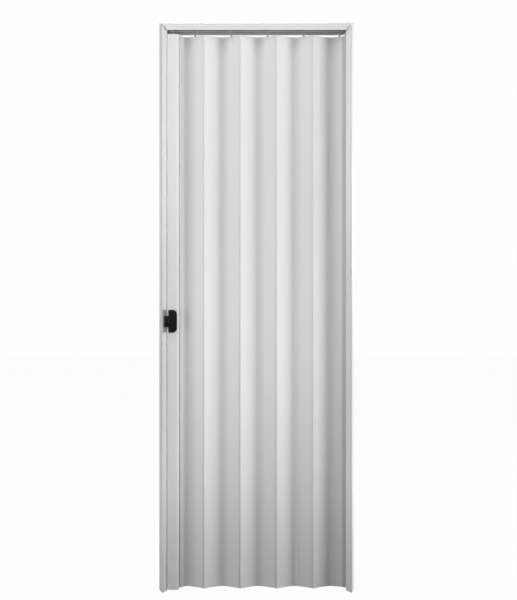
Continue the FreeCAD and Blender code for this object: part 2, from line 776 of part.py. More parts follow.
post_cap("post_top_cap", PANEL_HIGH, size("cap_plug")).Reversed = True
top_cap = PIECES[-1]
post_pin_hole = new_sketch(top_cap, "pin_hole", "XY_Plane")
draw_circle(post_pin_hole, SPINDLE_X, "0", f"{size('hanger_pin')} + {SNUG}")
cut(top_cap, post_pin_hole)
post_cap("post_bottom_cap", f"{POST_LOW} - {size('cap_thickness')}",
         f"{size('cap_plug')} + {size('cap_thickness')}")


def clip():
    """The clip in the right jamb: a web at the floor of the mouth and a leg along each face."""
    body = new_body("end_clip")
    sketch = new_sketch(body, "section", "XY_Plane")
    inner = f"({THICK} / 2 + {size('clip_snug')})"
    outer = f"({inner} + {CLIP_WALL})"
    room = f"({THICK} * 2 * {BOW} / {LAST_CHORD} + {SEAT})"
    draw_loop(sketch, [
        (f"-{CLIP_GRIP}", f"-{outer}"),
        (f"{room} + {CLIP_WALL}", f"-{outer}"),
        (f"{room} + {CLIP_WALL}", outer),
        (f"-{CLIP_GRIP}", outer),
        (f"-{CLIP_GRIP}", inner),
        (room, inner),
        (room, f"-{inner}"),
        (f"-{CLIP_GRIP}", f"-{inner}"),
    ])
    pad(body, sketch, f"{PANEL_HIGH} - {PANEL_LOW}")
    place(body, x=f"{LAST_VALLEY} + {LAST_RUN}", y=CLIP_Y, z=PANEL_LOW,
          turn=f"-{lean(LAST_RUN, LAST_FALL, LAST_CHORD, f'(-{BOW})')}")


clip()

# Hangers: a shoe that slides on the lips of the track, a stem, and a pin into a leaf
TRACK_FLOOR = f"({TRACK_LOW} + {TRACK_WALL} + {SEAT})"
PIN = size("hanger_pin")
PIN_DEPTH = size("hanger_pin_depth")
STEM = size("hanger_stem")
COLLAR = size("hanger_collar")
SHOE_HALF = size("hanger_shoe_half")
SHOE_LONG = size("hanger_shoe_length")
SHOE_HIGH = size("hanger_shoe_height")


def hanger(label, x, y, foot):
    """One turned and moulded hanger, standing on foot, the height that it hangs from."""
    shoe = doc.addObject("Part::Box", f"{label}_shoe")
    shoe.setExpression("Length", SHOE_LONG)
    shoe.setExpression("Width", f"2 * {SHOE_HALF}")
    shoe.setExpression("Height", SHOE_HIGH)
    place(shoe, x=f"{x} - {SHOE_LONG} / 2", y=f"-{SHOE_HALF}", z=TRACK_FLOOR)
    rods = [shoe]
    for name, radius, low, high in (
        ("stem", STEM, foot, f"{TRACK_FLOOR} + {SHOE_HIGH} / 2"),
        ("collar", COLLAR, foot, f"{foot} + {size('hanger_collar_height')}"),
        ("pin", PIN, f"{foot} - {PIN_DEPTH}", f"{foot} + {PIN}"),
    ):
        rod = doc.addObject("Part::Cylinder", f"{label}_{name}")
        rod.setExpression("Radius", radius)
        rod.setExpression("Height", f"{high} - ({low})")
        place(rod, x=x, y=y, z=low)
        rods.append(rod)
    whole = doc.addObject("Part::MultiFuse", f"{label}_body")
    whole.Shapes = rods
    whole.Refine = True
    whole.Label = label
    PIECES.append(whole)


LEAF_TOP = f"({PANEL_HIGH} + {SEAT})"
hanger("hanger_1", SPINDLE_X, "0", f"({PANEL_HIGH} + {size('cap_thickness')} + {SEAT})")
for pleat in range(pleats):
    valley = f"({FIRST} + {2 * pleat - 1} * {PITCH})"
    hanger(f"hanger_{pleat + 2}", f"{valley} + {PITCH} / 2 + {BOW} * 2 * {OFFSET} / {CHORD}",
           f"{BOW} * {PITCH} / {CHORD}", LEAF_TOP)
hanger(f"hanger_{pleats + 2}", f"{LAST_VALLEY} + {LAST_RUN} / 2 + {BOW} * {LAST_FALL} / {LAST_CHORD}",
       f"({OFFSET} + {CLIP_Y}) / 2 + {BOW} * {LAST_RUN} / {LAST_CHORD}", LEAF_TOP)

# Latch: a D-shaped handle on each face of the post, a spindle between them, a flat bolt,
# and a keeper on the flank of the left jamb
HANDLE_LEFT = size("handle_left")
HANDLE_RIGHT = size("handle_right")
HANDLE_LOW = f"({BOLT_Z} - {size('handle_below_bolt')})"
HANDLE_HIGH = f"({BOLT_Z} + {size('handle_above_bolt')})"
HANDLE_ROUND = size("handle_round")
PROUD = size("handle_proud")
BOLT_HALF = size("bolt_half_height")
BOLT_THICK = size("bolt_thickness")
BOLT_FRONT = f"(-{POST_HALF} - {size('bolt_front')} - {BOLT_THICK})"
KEEPER_LEFT = size("keeper_left")
KEEPER_RIGHT = size("keeper_right")


def handle(label, side):
    """A handle with a straight left edge and a round right one. Side is -1 for the front."""
    body = new_body(label)
    sketch = new_sketch(body, "outline", "XZ_Plane")
    draw_loop(sketch, [
        (HANDLE_LEFT, HANDLE_LOW),
        (f"{HANDLE_RIGHT} - {HANDLE_ROUND}", HANDLE_LOW, (HANDLE_ROUND, 1)),
        (HANDLE_RIGHT, f"{HANDLE_LOW} + {HANDLE_ROUND}"),
        (HANDLE_RIGHT, f"{HANDLE_HIGH} - {HANDLE_ROUND}", (HANDLE_ROUND, 1)),
        (f"{HANDLE_RIGHT} - {HANDLE_ROUND}", HANDLE_HIGH),
        (HANDLE_LEFT, HANDLE_HIGH),
    ])
    grip = pad(body, sketch, PROUD)
    grip.Reversed = side > 0
    doc.recompute()
    outer = side * number(PROUD)
    rim = [f"Face{n + 1}" for n, face in enumerate(body.Shape.Faces)
           if abs(face.CenterOfMass.y - outer) < NEAR]
    soften = body.newObject("PartDesign::Fillet", f"{label}_edge")
    soften.Base = (grip, rim)
    soften.setExpression("Radius", size("handle_edge"))
    place(body, y=f"{side} * {POST_HALF}")
    return body


front_handle = handle("front_handle", -1)
handle("back_handle", 1)

slot = new_sketch(front_handle, "bolt_slot", "XY_Plane")
draw_rectangle(slot, f"{HANDLE_LEFT} - {SPARE}", f"{BOLT_FRONT} + {POST_HALF} - {SEAT}",
               f"{size('bolt_right')} + {SEAT}", f"{BOLT_FRONT} + {POST_HALF} + {BOLT_THICK} + {SEAT}")
cut(front_handle, slot, f"{BOLT_Z} - {BOLT_HALF} - {SEAT}", f"2 * ({BOLT_HALF} + {SEAT})")

bolt = doc.addObject("Part::Box", "latch_bolt")
bolt.setExpression("Length", f"{size('bolt_right')} - {size('bolt_left')}")
bolt.setExpression("Width", BOLT_THICK)
bolt.setExpression("Height", f"2 * {BOLT_HALF}")
place(bolt, x=size("bolt_left"), y=BOLT_FRONT, z=f"{BOLT_Z} - {BOLT_HALF}")
PIECES.append(bolt)

spindle = doc.addObject("Part::Cylinder", "latch_spindle")
spindle.setExpression("Radius", SPINDLE)
spindle.setExpression("Height", f"2 * {POST_HALF}")
spindle.Placement = FreeCAD.Placement(Vector(), FreeCAD.Rotation(Vector(1, 0, 0), 90))
spindle.setExpression("Placement.Base.x", SPINDLE_X)
spindle.setExpression("Placement.Base.y", POST_HALF)
spindle.setExpression("Placement.Base.z", BOLT_Z)
PIECES.append(spindle)


def keeper():
    """The keeper: a block whose back follows the flank of the jamb, open towards the bolt."""
    body = new_body("latch_keeper")
    sketch = new_sketch(body, "section", "XY_Plane")
    fall = f"(({PEAK} - {MOUTH} - {WALL}) / ({REACH} - {CREST} - {FLAT}))"
    flank = f"({PEAK} + {SEAT})"
    front = size("keeper_front")
    crest = f"({CREST} + {FLAT})"
    clear_of_post = f"({POST_HALF} + {SEAT})"
    draw_loop(sketch, [
        (KEEPER_LEFT, f"-{front}"),
        (KEEPER_RIGHT, f"-{front}"),
        (KEEPER_RIGHT, f"-{clear_of_post}"),
        (f"{crest} + ({flank} - {clear_of_post}) / {fall}", f"-{clear_of_post}"),
        (KEEPER_LEFT, f"-{flank} + ({KEEPER_LEFT} - {crest}) * {fall}"),
    ])
    below = size("keeper_below_bolt")
    pad(body, sketch, f"{size('keeper_above_bolt')} + {below}")
    place(body, z=f"{BOLT_Z} - {below}")
    pocket = new_sketch(body, "bolt_hole", "YZ_Plane")
    low = f"({below} - {BOLT_HALF} - {SEAT})"
    draw_rectangle(pocket, f"{BOLT_FRONT} - {SEAT}", low, f"{BOLT_FRONT} + {BOLT_THICK} + {SEAT}",
                   f"{low} + 2 * ({BOLT_HALF} + {SEAT})")
    cut(body, pocket, f"{size('bolt_left')} - {SEAT}")


keeper()

doc.recompute()

failed = [item.Name for item in doc.Objects if {"Invalid", "Error"} & set(item.State)]
assert not failed, f"objects that failed: {failed}"
os.makedirs("parts", exist_ok=True)
for piece in PIECES:
    assert not piece.Shape.isNull() and piece.Shape.isValid(), piece.Label
    piece.Shape.exportStep(f"parts/{piece.Label}.step")
print(len(PIECES), "pieces")
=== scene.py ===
# %% [markdown]
# # An accordion door, dressed for its photograph
#
# The door is a curtain of ten stiff, hollow plastic leaves. They hang from a track and stand in a
# slim plastic frame. This lesson loads the measured frame first, then remodels the long extrusions
# with fine round edges, and gives each material its grain. All lengths are in metres.

# %% Load the measured door
import math

import bmesh
import bpy
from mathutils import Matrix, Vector


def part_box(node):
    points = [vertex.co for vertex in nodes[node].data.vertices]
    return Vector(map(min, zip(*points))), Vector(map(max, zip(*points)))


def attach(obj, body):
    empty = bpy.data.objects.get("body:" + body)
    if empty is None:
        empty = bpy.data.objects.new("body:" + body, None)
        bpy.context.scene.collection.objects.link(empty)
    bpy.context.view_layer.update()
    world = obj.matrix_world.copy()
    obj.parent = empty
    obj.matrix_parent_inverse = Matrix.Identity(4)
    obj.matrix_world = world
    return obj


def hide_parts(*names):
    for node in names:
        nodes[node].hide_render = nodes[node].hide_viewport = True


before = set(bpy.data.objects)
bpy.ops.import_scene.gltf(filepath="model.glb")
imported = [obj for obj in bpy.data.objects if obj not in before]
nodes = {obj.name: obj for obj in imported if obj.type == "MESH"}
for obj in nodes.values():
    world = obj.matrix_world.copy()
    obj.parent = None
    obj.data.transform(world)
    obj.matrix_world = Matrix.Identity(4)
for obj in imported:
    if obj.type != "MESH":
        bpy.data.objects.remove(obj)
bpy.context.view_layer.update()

# %% [markdown]
# ## Shader maths
#
# A shader is a graph of nodes, and a formula drawn as nodes is hard to read. The small class below
# wraps one socket, so that a formula on it is plain Python and the Math nodes appear by themselves.

# %% A socket that can be used in a formula
class Wire:
    """One output socket of a material, with the operators that the finishes use."""

    def __init__(self, socket):
        self.socket = socket
        self.tree = socket.id_data

    def node(self, kind, values, output=0, **settings):
        """A new node of this kind: its settings first, then its sockets' values or links."""
        made = self.tree.nodes.new(kind)
        for name, value in settings.items():
            setattr(made, name, value)
        for name, value in values.items():
            if isinstance(value, Wire):
                self.tree.links.new(value.socket, made.inputs[name])
            else:
                made.inputs[name].default_value = value
        return Wire(made.outputs[output])

    def math(self, operation, first, second):
        return self.node("ShaderNodeMath", {0: first, 1: second}, operation=operation)

    def __add__(self, other):
        return self.math("ADD", self, other)

    def __sub__(self, other):
        return self.math("SUBTRACT", self, other)

    def __rsub__(self, other):
        return self.math("SUBTRACT", other, self)

    def __mul__(self, other):
        return self.math("MULTIPLY", self, other)

    __radd__ = __add__
    __rmul__ = __mul__

    def stretched(self, x, y, z):
        """These coordinates, multiplied along each axis."""
        return self.node("ShaderNodeVectorMath", {0: self, 1: (x, y, z)}, operation="MULTIPLY")

    def noise(self, scale, detail=3.0, rough=0.55):
        values = {"Vector": self, "Scale": scale, "Detail": detail, "Roughness": rough}
        return self.node("ShaderNodeTexNoise", values)

    def axis(self, index):
        """The X, Y or Z of these coordinates."""
        return self.node("ShaderNodeSeparateXYZ", {0: self}, output=index)

    def ramp(self, start, end):
        """A smooth step from 0 to 1 as this value goes from start to end."""
        values = {"Value": self, "From Min": start, "From Max": end}
        return self.node("ShaderNodeMapRange", values, interpolation_type="SMOOTHSTEP")

    def mixed(self, low, high):
        """A colour between two, by this value. Each is three numbers."""
        values = {0: self, 6: (*low, 1.0), 7: (*high, 1.0)}
        return self.node("ShaderNodeMix", values, output=2, data_type="RGBA")

    def bumped(self, strength, distance):
        values = {"Height": self, "Strength": strength, "Distance": distance}
        return self.node("ShaderNodeBump", values)


def new_material(name):
    """A material, its surface shader, and the object coordinates as a Wire."""
    made = bpy.data.materials.new(name)
    made.use_nodes = True
    shader = made.node_tree.nodes["Principled BSDF"]
    place = Wire(made.node_tree.nodes.new("ShaderNodeTexCoord").outputs["Object"])
    return made, shader, place


def plug(shader, **wires):
    """Link wires to the shader's sockets; Base_Color means Base Color."""
    for name, wire in wires.items():
        wire.tree.links.new(wire.socket, shader.inputs[name.replace("_", " ")])


print("a Wire can be added, subtracted and multiplied")

# %% [markdown]
# ## White rigid plastic
#
# The leaves and the frame are pushed through a steel die, which leaves faint lines along their
# length. The tone drifts a little and the gloss is a soft satin. The lines are a noise squeezed
# across the profile and stretched along it, so frame pieces that run along X get their own copy.
# Shade is painted into the tone: deep in the valleys of the pleats, and more at their tops where the
# head's shadow falls; on the first leaves and the post's round edge, beside the post; on the last
# pleat and where the last leaf enters the jamb; on the inner flank of the left jamb and on the post's
# bevel beside it. The right jamb's inner flank has a little painted light. It is read from the
# coordinates,
# Y for the valleys and X for the rest, so all the leaves can share one material. A valley of the
# front is a ridge of the back, so the faces that look back have a second material that counts Y the
# other way. The jambs and the post are a little darker in a band round the height of the latch,
# everything has painted shade towards its foot, and the head's copy is lighter, painted light at the
# top.

# %% The extruded plastic
FINE, LONG = 900.0, 1.2
# Where each painted shade begins and is full, and the share of the tone that it takes: in the
# valleys, the head's shadow down their tops, and towards the foot
VALLEY_SHADE_DEPTH, VALLEY_SHADE_SHARE = (0.0, 0.007), 0.17
HEAD_SHADOW_HEIGHT, HEAD_SHADOW_SHARE = (1.96, 2.04), 0.13
FOOT_SHADE_HEIGHT, FOOT_SHADE_SHARE = (0.45, 0.0), 0.18
# A band round the latch height is darker: full from 0.8 to 1.15 m, gone below 0.4 and above 1.55 m
LATCH_BAND_LOW, LATCH_BAND_HIGH = (0.40, 0.80), (1.55, 1.15)
# Where painted shade begins and ends along X, and its share; a negative share paints light
# On the leaves, along X: painted shade beside the post and on the last pleat, and a painted shadow
# where the last leaf enters the jamb
LEAF_SHADE_SPANS = (
    ((0.076, 0.082), (0.150, 0.115), 0.15),
    ((0.585, 0.625), (0.760, 0.750), 0.11),
    ((0.674, 0.684), (0.760, 0.750), 0.32),
)
# On the frame and post, along X: painted shade on the left jamb's inner flank, on the post's bevel
# beside it and on its round edge by the first leaf, and painted light on the right jamb's inner flank
FRAME_LIGHT_AND_SHADE = (
    ((0.011, 0.014), (0.025, 0.023), 0.12),
    ((0.029, 0.030), (0.042, 0.038), 0.04),
    ((0.067, 0.071), (0.080, 0.075), 0.12),
    ((0.688, 0.692), (0.704, 0.700), -0.07),
)


def extruded_plastic(name, low, high, roughness, along="z", valley_shade_side=0, latch_band_darkening=0):
    """Plastic with die lines along one axis, between two tones.

    The valley side is 1 for faces whose valleys lie back and -1 for their backs, and gives them
    painted shade in the valleys and the leaves' painted shade along X; at 0, a piece that runs along
    Z gets the frame's painted light and shade along X. The band is how much darker it is round the
    latch height.
    """
    made, shader, place = new_material(name)
    scales = {"x": (LONG, FINE, FINE), "z": (FINE, FINE, LONG)}[along]
    die_lines = place.stretched(*scales).noise(1.0, 2.0)
    drift = place.stretched(1.0, 1.0, 0.35).noise(5.0, 4.0)
    speck = place.noise(2600.0, 1.0)
    x, z = place.axis(0), place.axis(2)
    tone = (drift * 0.75 + die_lines * 0.25) * (high - low) + low
    # Painted shade towards the foot
    tone = tone * (1 - z.ramp(*FOOT_SHADE_HEIGHT) * FOOT_SHADE_SHARE)
    # Painted shade in the valleys, stronger at their tops where the head's shadow falls
    if valley_shade_side:
        depth = place.axis(1) * valley_shade_side + (drift - 0.5) * 0.002
        share = z.ramp(*HEAD_SHADOW_HEIGHT) * HEAD_SHADOW_SHARE + VALLEY_SHADE_SHARE
        tone = tone * (1 - depth.ramp(*VALLEY_SHADE_DEPTH) * share)
    # Darker in a band round the latch height
    if latch_band_darkening:
        tone = tone * (1 - z.ramp(*LATCH_BAND_LOW) * z.ramp(*LATCH_BAND_HIGH) * latch_band_darkening)
    # Painted shade along X, and painted light on the right jamb's inner flank
    painted_spans = (LEAF_SHADE_SPANS if valley_shade_side else FRAME_LIGHT_AND_SHADE) if along == "z" else ()
    for begins, ends, share in painted_spans:
        tone = tone * (1 - x.ramp(*begins) * x.ramp(*ends) * share)
    plug(shader, Base_Color=tone)
    plug(shader, Roughness=drift * 0.10 + speck * 0.05 + (roughness - 0.075))
    relief = die_lines + speck * 0.35
    plug(shader, Normal=relief.bumped(0.10, 0.0002))
    shader.inputs["Specular IOR Level"].default_value = 0.3
    return made


# The leaves, their backs and the soft bands get painted shade in their valleys
leaf_plastic = extruded_plastic("leaf_plastic", 0.80, 0.84, 0.50, valley_shade_side=1)
leaf_back = extruded_plastic("leaf_back", 0.80, 0.84, 0.50, valley_shade_side=-1)
soft_plastic = extruded_plastic("soft_plastic", 0.79, 0.83, 0.60, valley_shade_side=1)
# The frame and the post: painted light and shade along X, and a darker band round the latch height
frame_plastic = extruded_plastic("frame_plastic", 0.77, 0.81, 0.55, latch_band_darkening=0.12)
# A lighter copy of the frame's plastic for the head: painted light at the top of the frame
head_lit_plastic = extruded_plastic("head_lit_plastic", 0.85, 0.89, 0.55, "x")
# A darker copy of the head's plastic for the faces inside the channel: painted shade
head_shaded_inside = extruded_plastic("head_shaded_inside", 0.58, 0.64, 0.60, "x")
post_plastic = extruded_plastic("post_plastic", 0.80, 0.83, 0.60, latch_band_darkening=0.10)
print("white plastics: 7")

# %% [markdown]
# ## Track, hangers and latch
#
# The track is grey aluminium with drawing lines along its length. The hangers are grey moulded
# plastic, and the latch is black moulded plastic with a fine spark-eroded grain.

# %% Metal and moulded finishes
def drawn_metal(name, low, high, roughness, metallic):
    made, shader, place = new_material(name)
    lines = place.stretched(2.0, 1400.0, 1400.0).noise(1.0, 3.0)
    cloud = place.noise(24.0, 4.0)
    plug(shader, Base_Color=(lines * 0.6 + cloud * 0.4).mixed(low, high))
    plug(shader, Roughness=lines * 0.15 + cloud * 0.1 + (roughness - 0.125))
    plug(shader, Normal=lines.bumped(0.15, 0.0002))
    shader.inputs["Metallic"].default_value = metallic
    return made


def moulded_plastic(name, low, high, roughness, grain):
    made, shader, place = new_material(name)
    pits = place.noise(grain, 3.0, 0.7)
    cloud = place.noise(60.0, 3.0)
    plug(shader, Base_Color=cloud.mixed(low, high))
    plug(shader, Roughness=pits * 0.12 + cloud * 0.06 + (roughness - 0.09))
    plug(shader, Normal=pits.bumped(0.22, 0.0003))
    shader.inputs["Specular IOR Level"].default_value = 0.07
    return made


track_metal = drawn_metal("track_metal", (0.50, 0.50, 0.50), (0.58, 0.58, 0.58), 0.45, 0.3)
latch_steel = drawn_metal("latch_steel", (0.45, 0.45, 0.45), (0.60, 0.60, 0.60), 0.35, 1.0)
hanger_plastic = moulded_plastic("hanger_plastic", (0.36, 0.36, 0.355), (0.42, 0.42, 0.415),
                                 0.5, 1500.0)
latch_plastic = moulded_plastic("latch_plastic", (0.004, 0.004, 0.004), (0.007, 0.007, 0.007),
                                0.5, 1800.0)
print("metals and moulded plastics: 4")

# %% [markdown]
# ## Who wears what
#
# The measured nodes are named after the pieces of the real door, so the start of a name is enough
# to choose its finish. The pieces modelled below stand in for these nodes, and the nodes get
# finishes like theirs, so that nothing is left bare if a piece is taken away.

# %% Finishes on the measured nodes
# What isn't in this list, the post with its caps and the end clip, wears post_plastic
FINISHES = {
    "leaf_": leaf_plastic,
    "valley_": soft_plastic,
    "head_": head_lit_plastic,
    "track_": track_metal,
    "hanger_": hanger_plastic,
    "latch_spindle": latch_steel,
    "latch_bolt": latch_steel,
    "latch_keeper": latch_plastic,
    "front_handle": latch_plastic,
    "back_handle": latch_plastic,
    "left_jamb": frame_plastic,
    "right_jamb": frame_plastic,
}
for name, node in nodes.items():
    found = (made for start, made in FINISHES.items() if name.startswith(start))
    finish = next(found, post_plastic)
    node.data.materials.clear()
    node.data.materials.append(finish)
print("finishes set on", len(nodes), "nodes")

# %% [markdown]
# ## Helpers for modelling
#
# Each piece starts from a primitive and is shaped in edit mode, as one would by hand. Operators act
# on what is selected, so everything is deselected first and faces are then picked by their place.
# A piece keeps its place in its mesh, and its object stays at the origin.

# %% Selecting and placing
def clear_selection():
    if bpy.context.object and bpy.context.object.mode != "OBJECT":
        bpy.ops.object.mode_set(mode="OBJECT")
    bpy.ops.object.select_all(action="DESELECT")


def choose(piece):
    """Make this the only selected object."""
    clear_selection()
    piece.select_set(True)
    bpy.context.view_layer.objects.active = piece


def apply_place(piece):
    """Move an object's place, turn and scale into its mesh."""
    choose(piece)
    bpy.ops.object.transform_apply(location=True, rotation=True, scale=True)


def block(name, low, high):
    """A box between two corners, with its place in its mesh."""
    clear_selection()
    low, high = Vector(low), Vector(high)
    bpy.ops.mesh.primitive_cube_add(size=1, location=(low + high) / 2)
    piece = bpy.context.object
    piece.name = name
    piece.scale = high - low
    apply_place(piece)
    return piece


def select_all():
    """Select the whole mesh, in edit mode."""
    bpy.ops.mesh.select_all(action="SELECT")


def pick(piece, test, kind="faces"):
    """Select the faces or edges that pass a test."""
    bpy.ops.mesh.select_mode(type={"faces": "FACE", "edges": "EDGE"}[kind])
    mesh = bmesh.from_edit_mesh(piece.data)
    for item in (*mesh.verts, *mesh.edges, *mesh.faces):
        item.select = False
    for item in [item for item in getattr(mesh, kind) if test(item)]:
        item.select_set(True)
    mesh.select_flush_mode()
    bmesh.update_edit_mesh(piece.data)


def pull(rise):
    """Extrude the selected faces straight up, or down for a negative rise."""
    bpy.ops.mesh.extrude_region_move(TRANSFORM_OT_translate={"value": (0, 0, rise)})


print("selected after loading:", len(bpy.context.selected_objects))
clear_selection()
print("selected now:", len(bpy.context.selected_objects))

# %% [markdown]
# ## Cutting and rounding
#
# Planes divide a box into strips, so that it can bend. A round hole is a cylinder taken away from the
# piece by a Boolean modifier. A Bevel modifier rounds the sharp edges alone, which it tells by the
# angle between their faces. Each modifier is applied at once, as the next step works on its result.

# %% Cutting and rounding
HOLE_SIDES = 32


def cut(places, normal):
    """Cut the piece in edit mode by planes at these places, along one axis."""
    for place in places:
        select_all()
        bpy.ops.mesh.bisect(plane_co=[place * side for side in normal], plane_no=normal)


def modify(piece, kind, **settings):
    """Add a modifier, set it and apply it."""
    choose(piece)
    modifier = piece.modifiers.new(kind.lower(), kind)
    for name, value in settings.items():
        setattr(modifier, name, value)
    bpy.ops.object.modifier_apply(modifier=modifier.name)


def soften(piece, width, segments, angle):
    """Round the sharp edges of a piece."""
    modify(piece, "BEVEL", width=width, segments=segments, limit_method="ANGLE",
           angle_limit=math.radians(angle), use_clamp_overlap=True)


def subtract(piece, tool):
    """Take the tool's shape out of the piece, and throw the tool away."""
    modify(piece, "BOOLEAN", object=tool, operation="DIFFERENCE", solver="EXACT")
    choose(tool)
    bpy.ops.object.delete()


def drill(piece, holes, radius, axis, reach):
    """Bore round holes through the piece at these places, along one axis."""
    turn = {"x": (0, math.pi / 2, 0), "z": (0, 0, 0)}[axis]
    for hole in holes:
        clear_selection()
        bpy.ops.mesh.primitive_cylinder_add(vertices=HOLE_SIDES, radius=radius, depth=reach,
                                            location=hole, rotation=turn)
        subtract(piece, bpy.context.object)


print("a hole is cut with", HOLE_SIDES, "sides")

# %% [markdown]
# ## Finishing a piece
#
# A finished piece is shaded smooth up to an angle, wears its material and rides on the door's one
# body, where it stands in for the measured node of its name. Some faces get a second material: it
# goes into a second slot of the mesh, and the faces that pass a test are assigned to that slot.


def join(name, pieces):
    clear_selection()
    for piece in pieces:
        piece.select_set(True)
    bpy.context.view_layer.objects.active = pieces[0]
    bpy.ops.object.join()
    pieces[0].name = name
    return pieces[0]


def complete(piece, finish, node, smooth=30.0):
    """Shade a piece, give it its finish, and let it ride in place of its measured node."""
    choose(piece)
    bpy.ops.object.shade_smooth_by_angle(angle=math.radians(smooth))
    piece.data.materials.clear()
    piece.data.materials.append(finish)
    piece.data.name = piece.name
    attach(piece, "root")
    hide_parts(node)
    return piece


def dress(piece, finish, test):
    """Give the faces that pass a test a finish of their own."""
    choose(piece)
    piece.data.materials.append(finish)
    bpy.ops.object.mode_set(mode="EDIT")
    pick(piece, test)
    piece.active_material_index = 1
    bpy.ops.object.material_slot_assign()
    bpy.ops.object.mode_set(mode="OBJECT")


def looks_back(face):
    return face.normal.y > 0.2


# %% [markdown]
# ## Where the hinges are
#
# Every leaf swings on two hinge lines. The ridge lines run down the middle of the round beads, and
# the valley lines lie as far behind the middle of the frame as the ridges lie in front of it. The
# measured nodes give the beads' places, and the rest follows from them.

# %% Hinge lines from the measured nodes
# Radii of a bead, its bore and the bulb in it, and how thick the bulb's neck is
BEAD = 0.0040
BORE = 0.0029
BULB = 0.0025
NECK = 0.0017
# A board's thickness, its skin and its bow
THICK = 0.0060
SKIN = 0.0010
BOW = 0.0020
# The radius to which a board is hollowed round the next leaf's bead, and where that meets its faces
STOP = 0.0044
HOLLOW = math.sqrt(STOP ** 2 - THICK ** 2 / 4)
# How far from the line of a valley a board ends
EDGE = 0.0080
PLEATS = 4
CLIP_Y = -0.0058
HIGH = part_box("head_channel")[1][2]
panel_low, panel_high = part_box("leaf_02")[0][2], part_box("leaf_02")[1][2]


def bead_line(leaf):
    """The hinge line in the bead at a leaf's left edge."""
    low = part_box(leaf)[0]
    return Vector((low[0] + BEAD, low[1] + BEAD))


ridges = [bead_line(f"leaf_{2 * pleat + 3:02d}") for pleat in range(PLEATS)]
half_pitch = (ridges[1].x - ridges[0].x) / 2
valleys = [Vector((ridges[0].x + (2 * pleat - 1) * half_pitch, -ridges[0].y))
           for pleat in range(PLEATS + 1)]
post_hinge = Vector((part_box("lock_post")[1][0] - BULB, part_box("leaf_01")[0][1] + BEAD))
clip_end = Vector((valleys[-1].x + half_pitch, CLIP_Y))
print("half pitch", round(half_pitch, 5), "ridges at", [round(ridge.x, 4) for ridge in ridges])

# %% [markdown]
# ## A leaf's own line
#
# A leaf is bowed back between its two hinge lines by a known height. At so slight a bow, an arc and a
# parabola are the same to a hundredth of a millimetre, and the parabola is easier to work with. The
# leaf can say where a point on it lies in the door, and at what slope its ends arrive.

# %% Ten bowed lines
class Leaf:
    """One leaf between two hinge lines, bowed back between them."""

    def __init__(self, start, finish, bow=BOW):
        self.start = start
        self.chord = (finish - start).length
        self.along = (finish - start).normalized()
        self.angle = math.atan2(self.along.y, self.along.x)
        self.bow = bow
        self.radius = self.chord ** 2 / (8 * bow) + bow / 2

    def spot(self, along, across):
        """The world place of a point along the chord and behind the middle surface."""
        rise = 4 * self.bow * along * (self.chord - along) / self.chord ** 2
        back = Vector((-self.along.y, self.along.x))
        return self.start + self.along * along + back * (rise + across)

    def lean(self, end):
        """The slope at one end, 0 for the start and 1 for the finish, in radians."""
        swing = math.atan(4 * self.bow / self.chord)
        return self.angle + (swing if end == 0 else -swing)


leaves = [Leaf(post_hinge, valleys[0], BOW / 4)]
for pleat in range(PLEATS):
    leaves.append(Leaf(valleys[pleat], ridges[pleat]))
    leaves.append(Leaf(ridges[pleat], valleys[pleat + 1]))
leaves.append(Leaf(valleys[-1], clip_end))
print("chords in mm:", [round(leaf.chord * 1000, 1) for leaf in leaves])

# %% [markdown]
# ## The leaves
#
# A leaf is a hollow board with two thin skins, thin webs between them, and a hinge part on its ridge
# edge: a hollow bead on one leaf clips over a solid bulb on the next. The board is a box, cut into
# strips so that it can bend. The open ends of its cells are pressed in, and a bend modifier then
# bows it by the two millimetres that the photograph shows.

# %% The hollow board
CELL_DEPTH = 0.040
STRIP = 0.0035
BOARD_EDGE = 0.0002


def board(name, first, last, cells, leaf):
    """A hollow board from first to last along the leaf's chord, bowed and stood in place."""
    middle = leaf.chord / 2
    start, end = first - middle, last - middle
    piece = block(name, (start, -THICK / 2, panel_low), (end, THICK / 2, panel_high))
    bpy.ops.object.mode_set(mode="EDIT")
    cut([SKIN - THICK / 2, THICK / 2 - SKIN], (0, 1, 0))
    pitch = (end - start - SKIN) / cells
    walls = [(start + cell * pitch + SKIN, start + (cell + 1) * pitch) for cell in range(cells)]
    strips = max(4, round((end - start) / STRIP))
    cut([x for wall in walls for x in wall], (1, 0, 0))
    cut([start + (end - start) * n / strips for n in range(1, strips)], (1, 0, 0))

    def in_cell(face):
        spot = face.calc_center_median()
        core = abs(spot.y) < THICK / 2 - SKIN and abs(face.normal.z) > 0.9
        return core and any(low < spot.x < high for low, high in walls)

    for level, depth in ((panel_high, -CELL_DEPTH), (panel_low, CELL_DEPTH)):
        pick(piece, lambda face: in_cell(face) and abs(face.calc_center_median().z - level) < 1e-6)
        pull(depth)
    bpy.ops.object.mode_set(mode="OBJECT")
    soften(piece, BOARD_EDGE, 1, 60.0)
    modify(piece, "SIMPLE_DEFORM", deform_method="BEND", deform_axis="Z",
           angle=-(end - start) / leaf.radius)
    piece.location = (middle, leaf.bow, 0)
    apply_place(piece)
    return piece


print("a board is", round(THICK * 1000, 1), "mm thick, with skins of", round(SKIN * 1000, 1), "mm")

# %% [markdown]
# ## The hinge on a ridge
#
# A leaf's bead is a C in section, open for a seventh of a turn. It is made by spinning one thin wall
# about the hinge line, the way a compass draws it. The next leaf carries a bulb on a short neck,
# which snaps into the C and turns there, so a ridge needs no pin and no screw.
#
# A flaw is left here. The measured bead opens towards the neck, but this one opens about 50 degrees
# nearer the front, so the neck crosses its wall. The lip angle would have to be turned back by that.

# %% The bead and the bulb
LIP_ANGLE = math.radians(172)
BEAD_SWEEP = math.radians(310)
BEAD_STEPS = 44


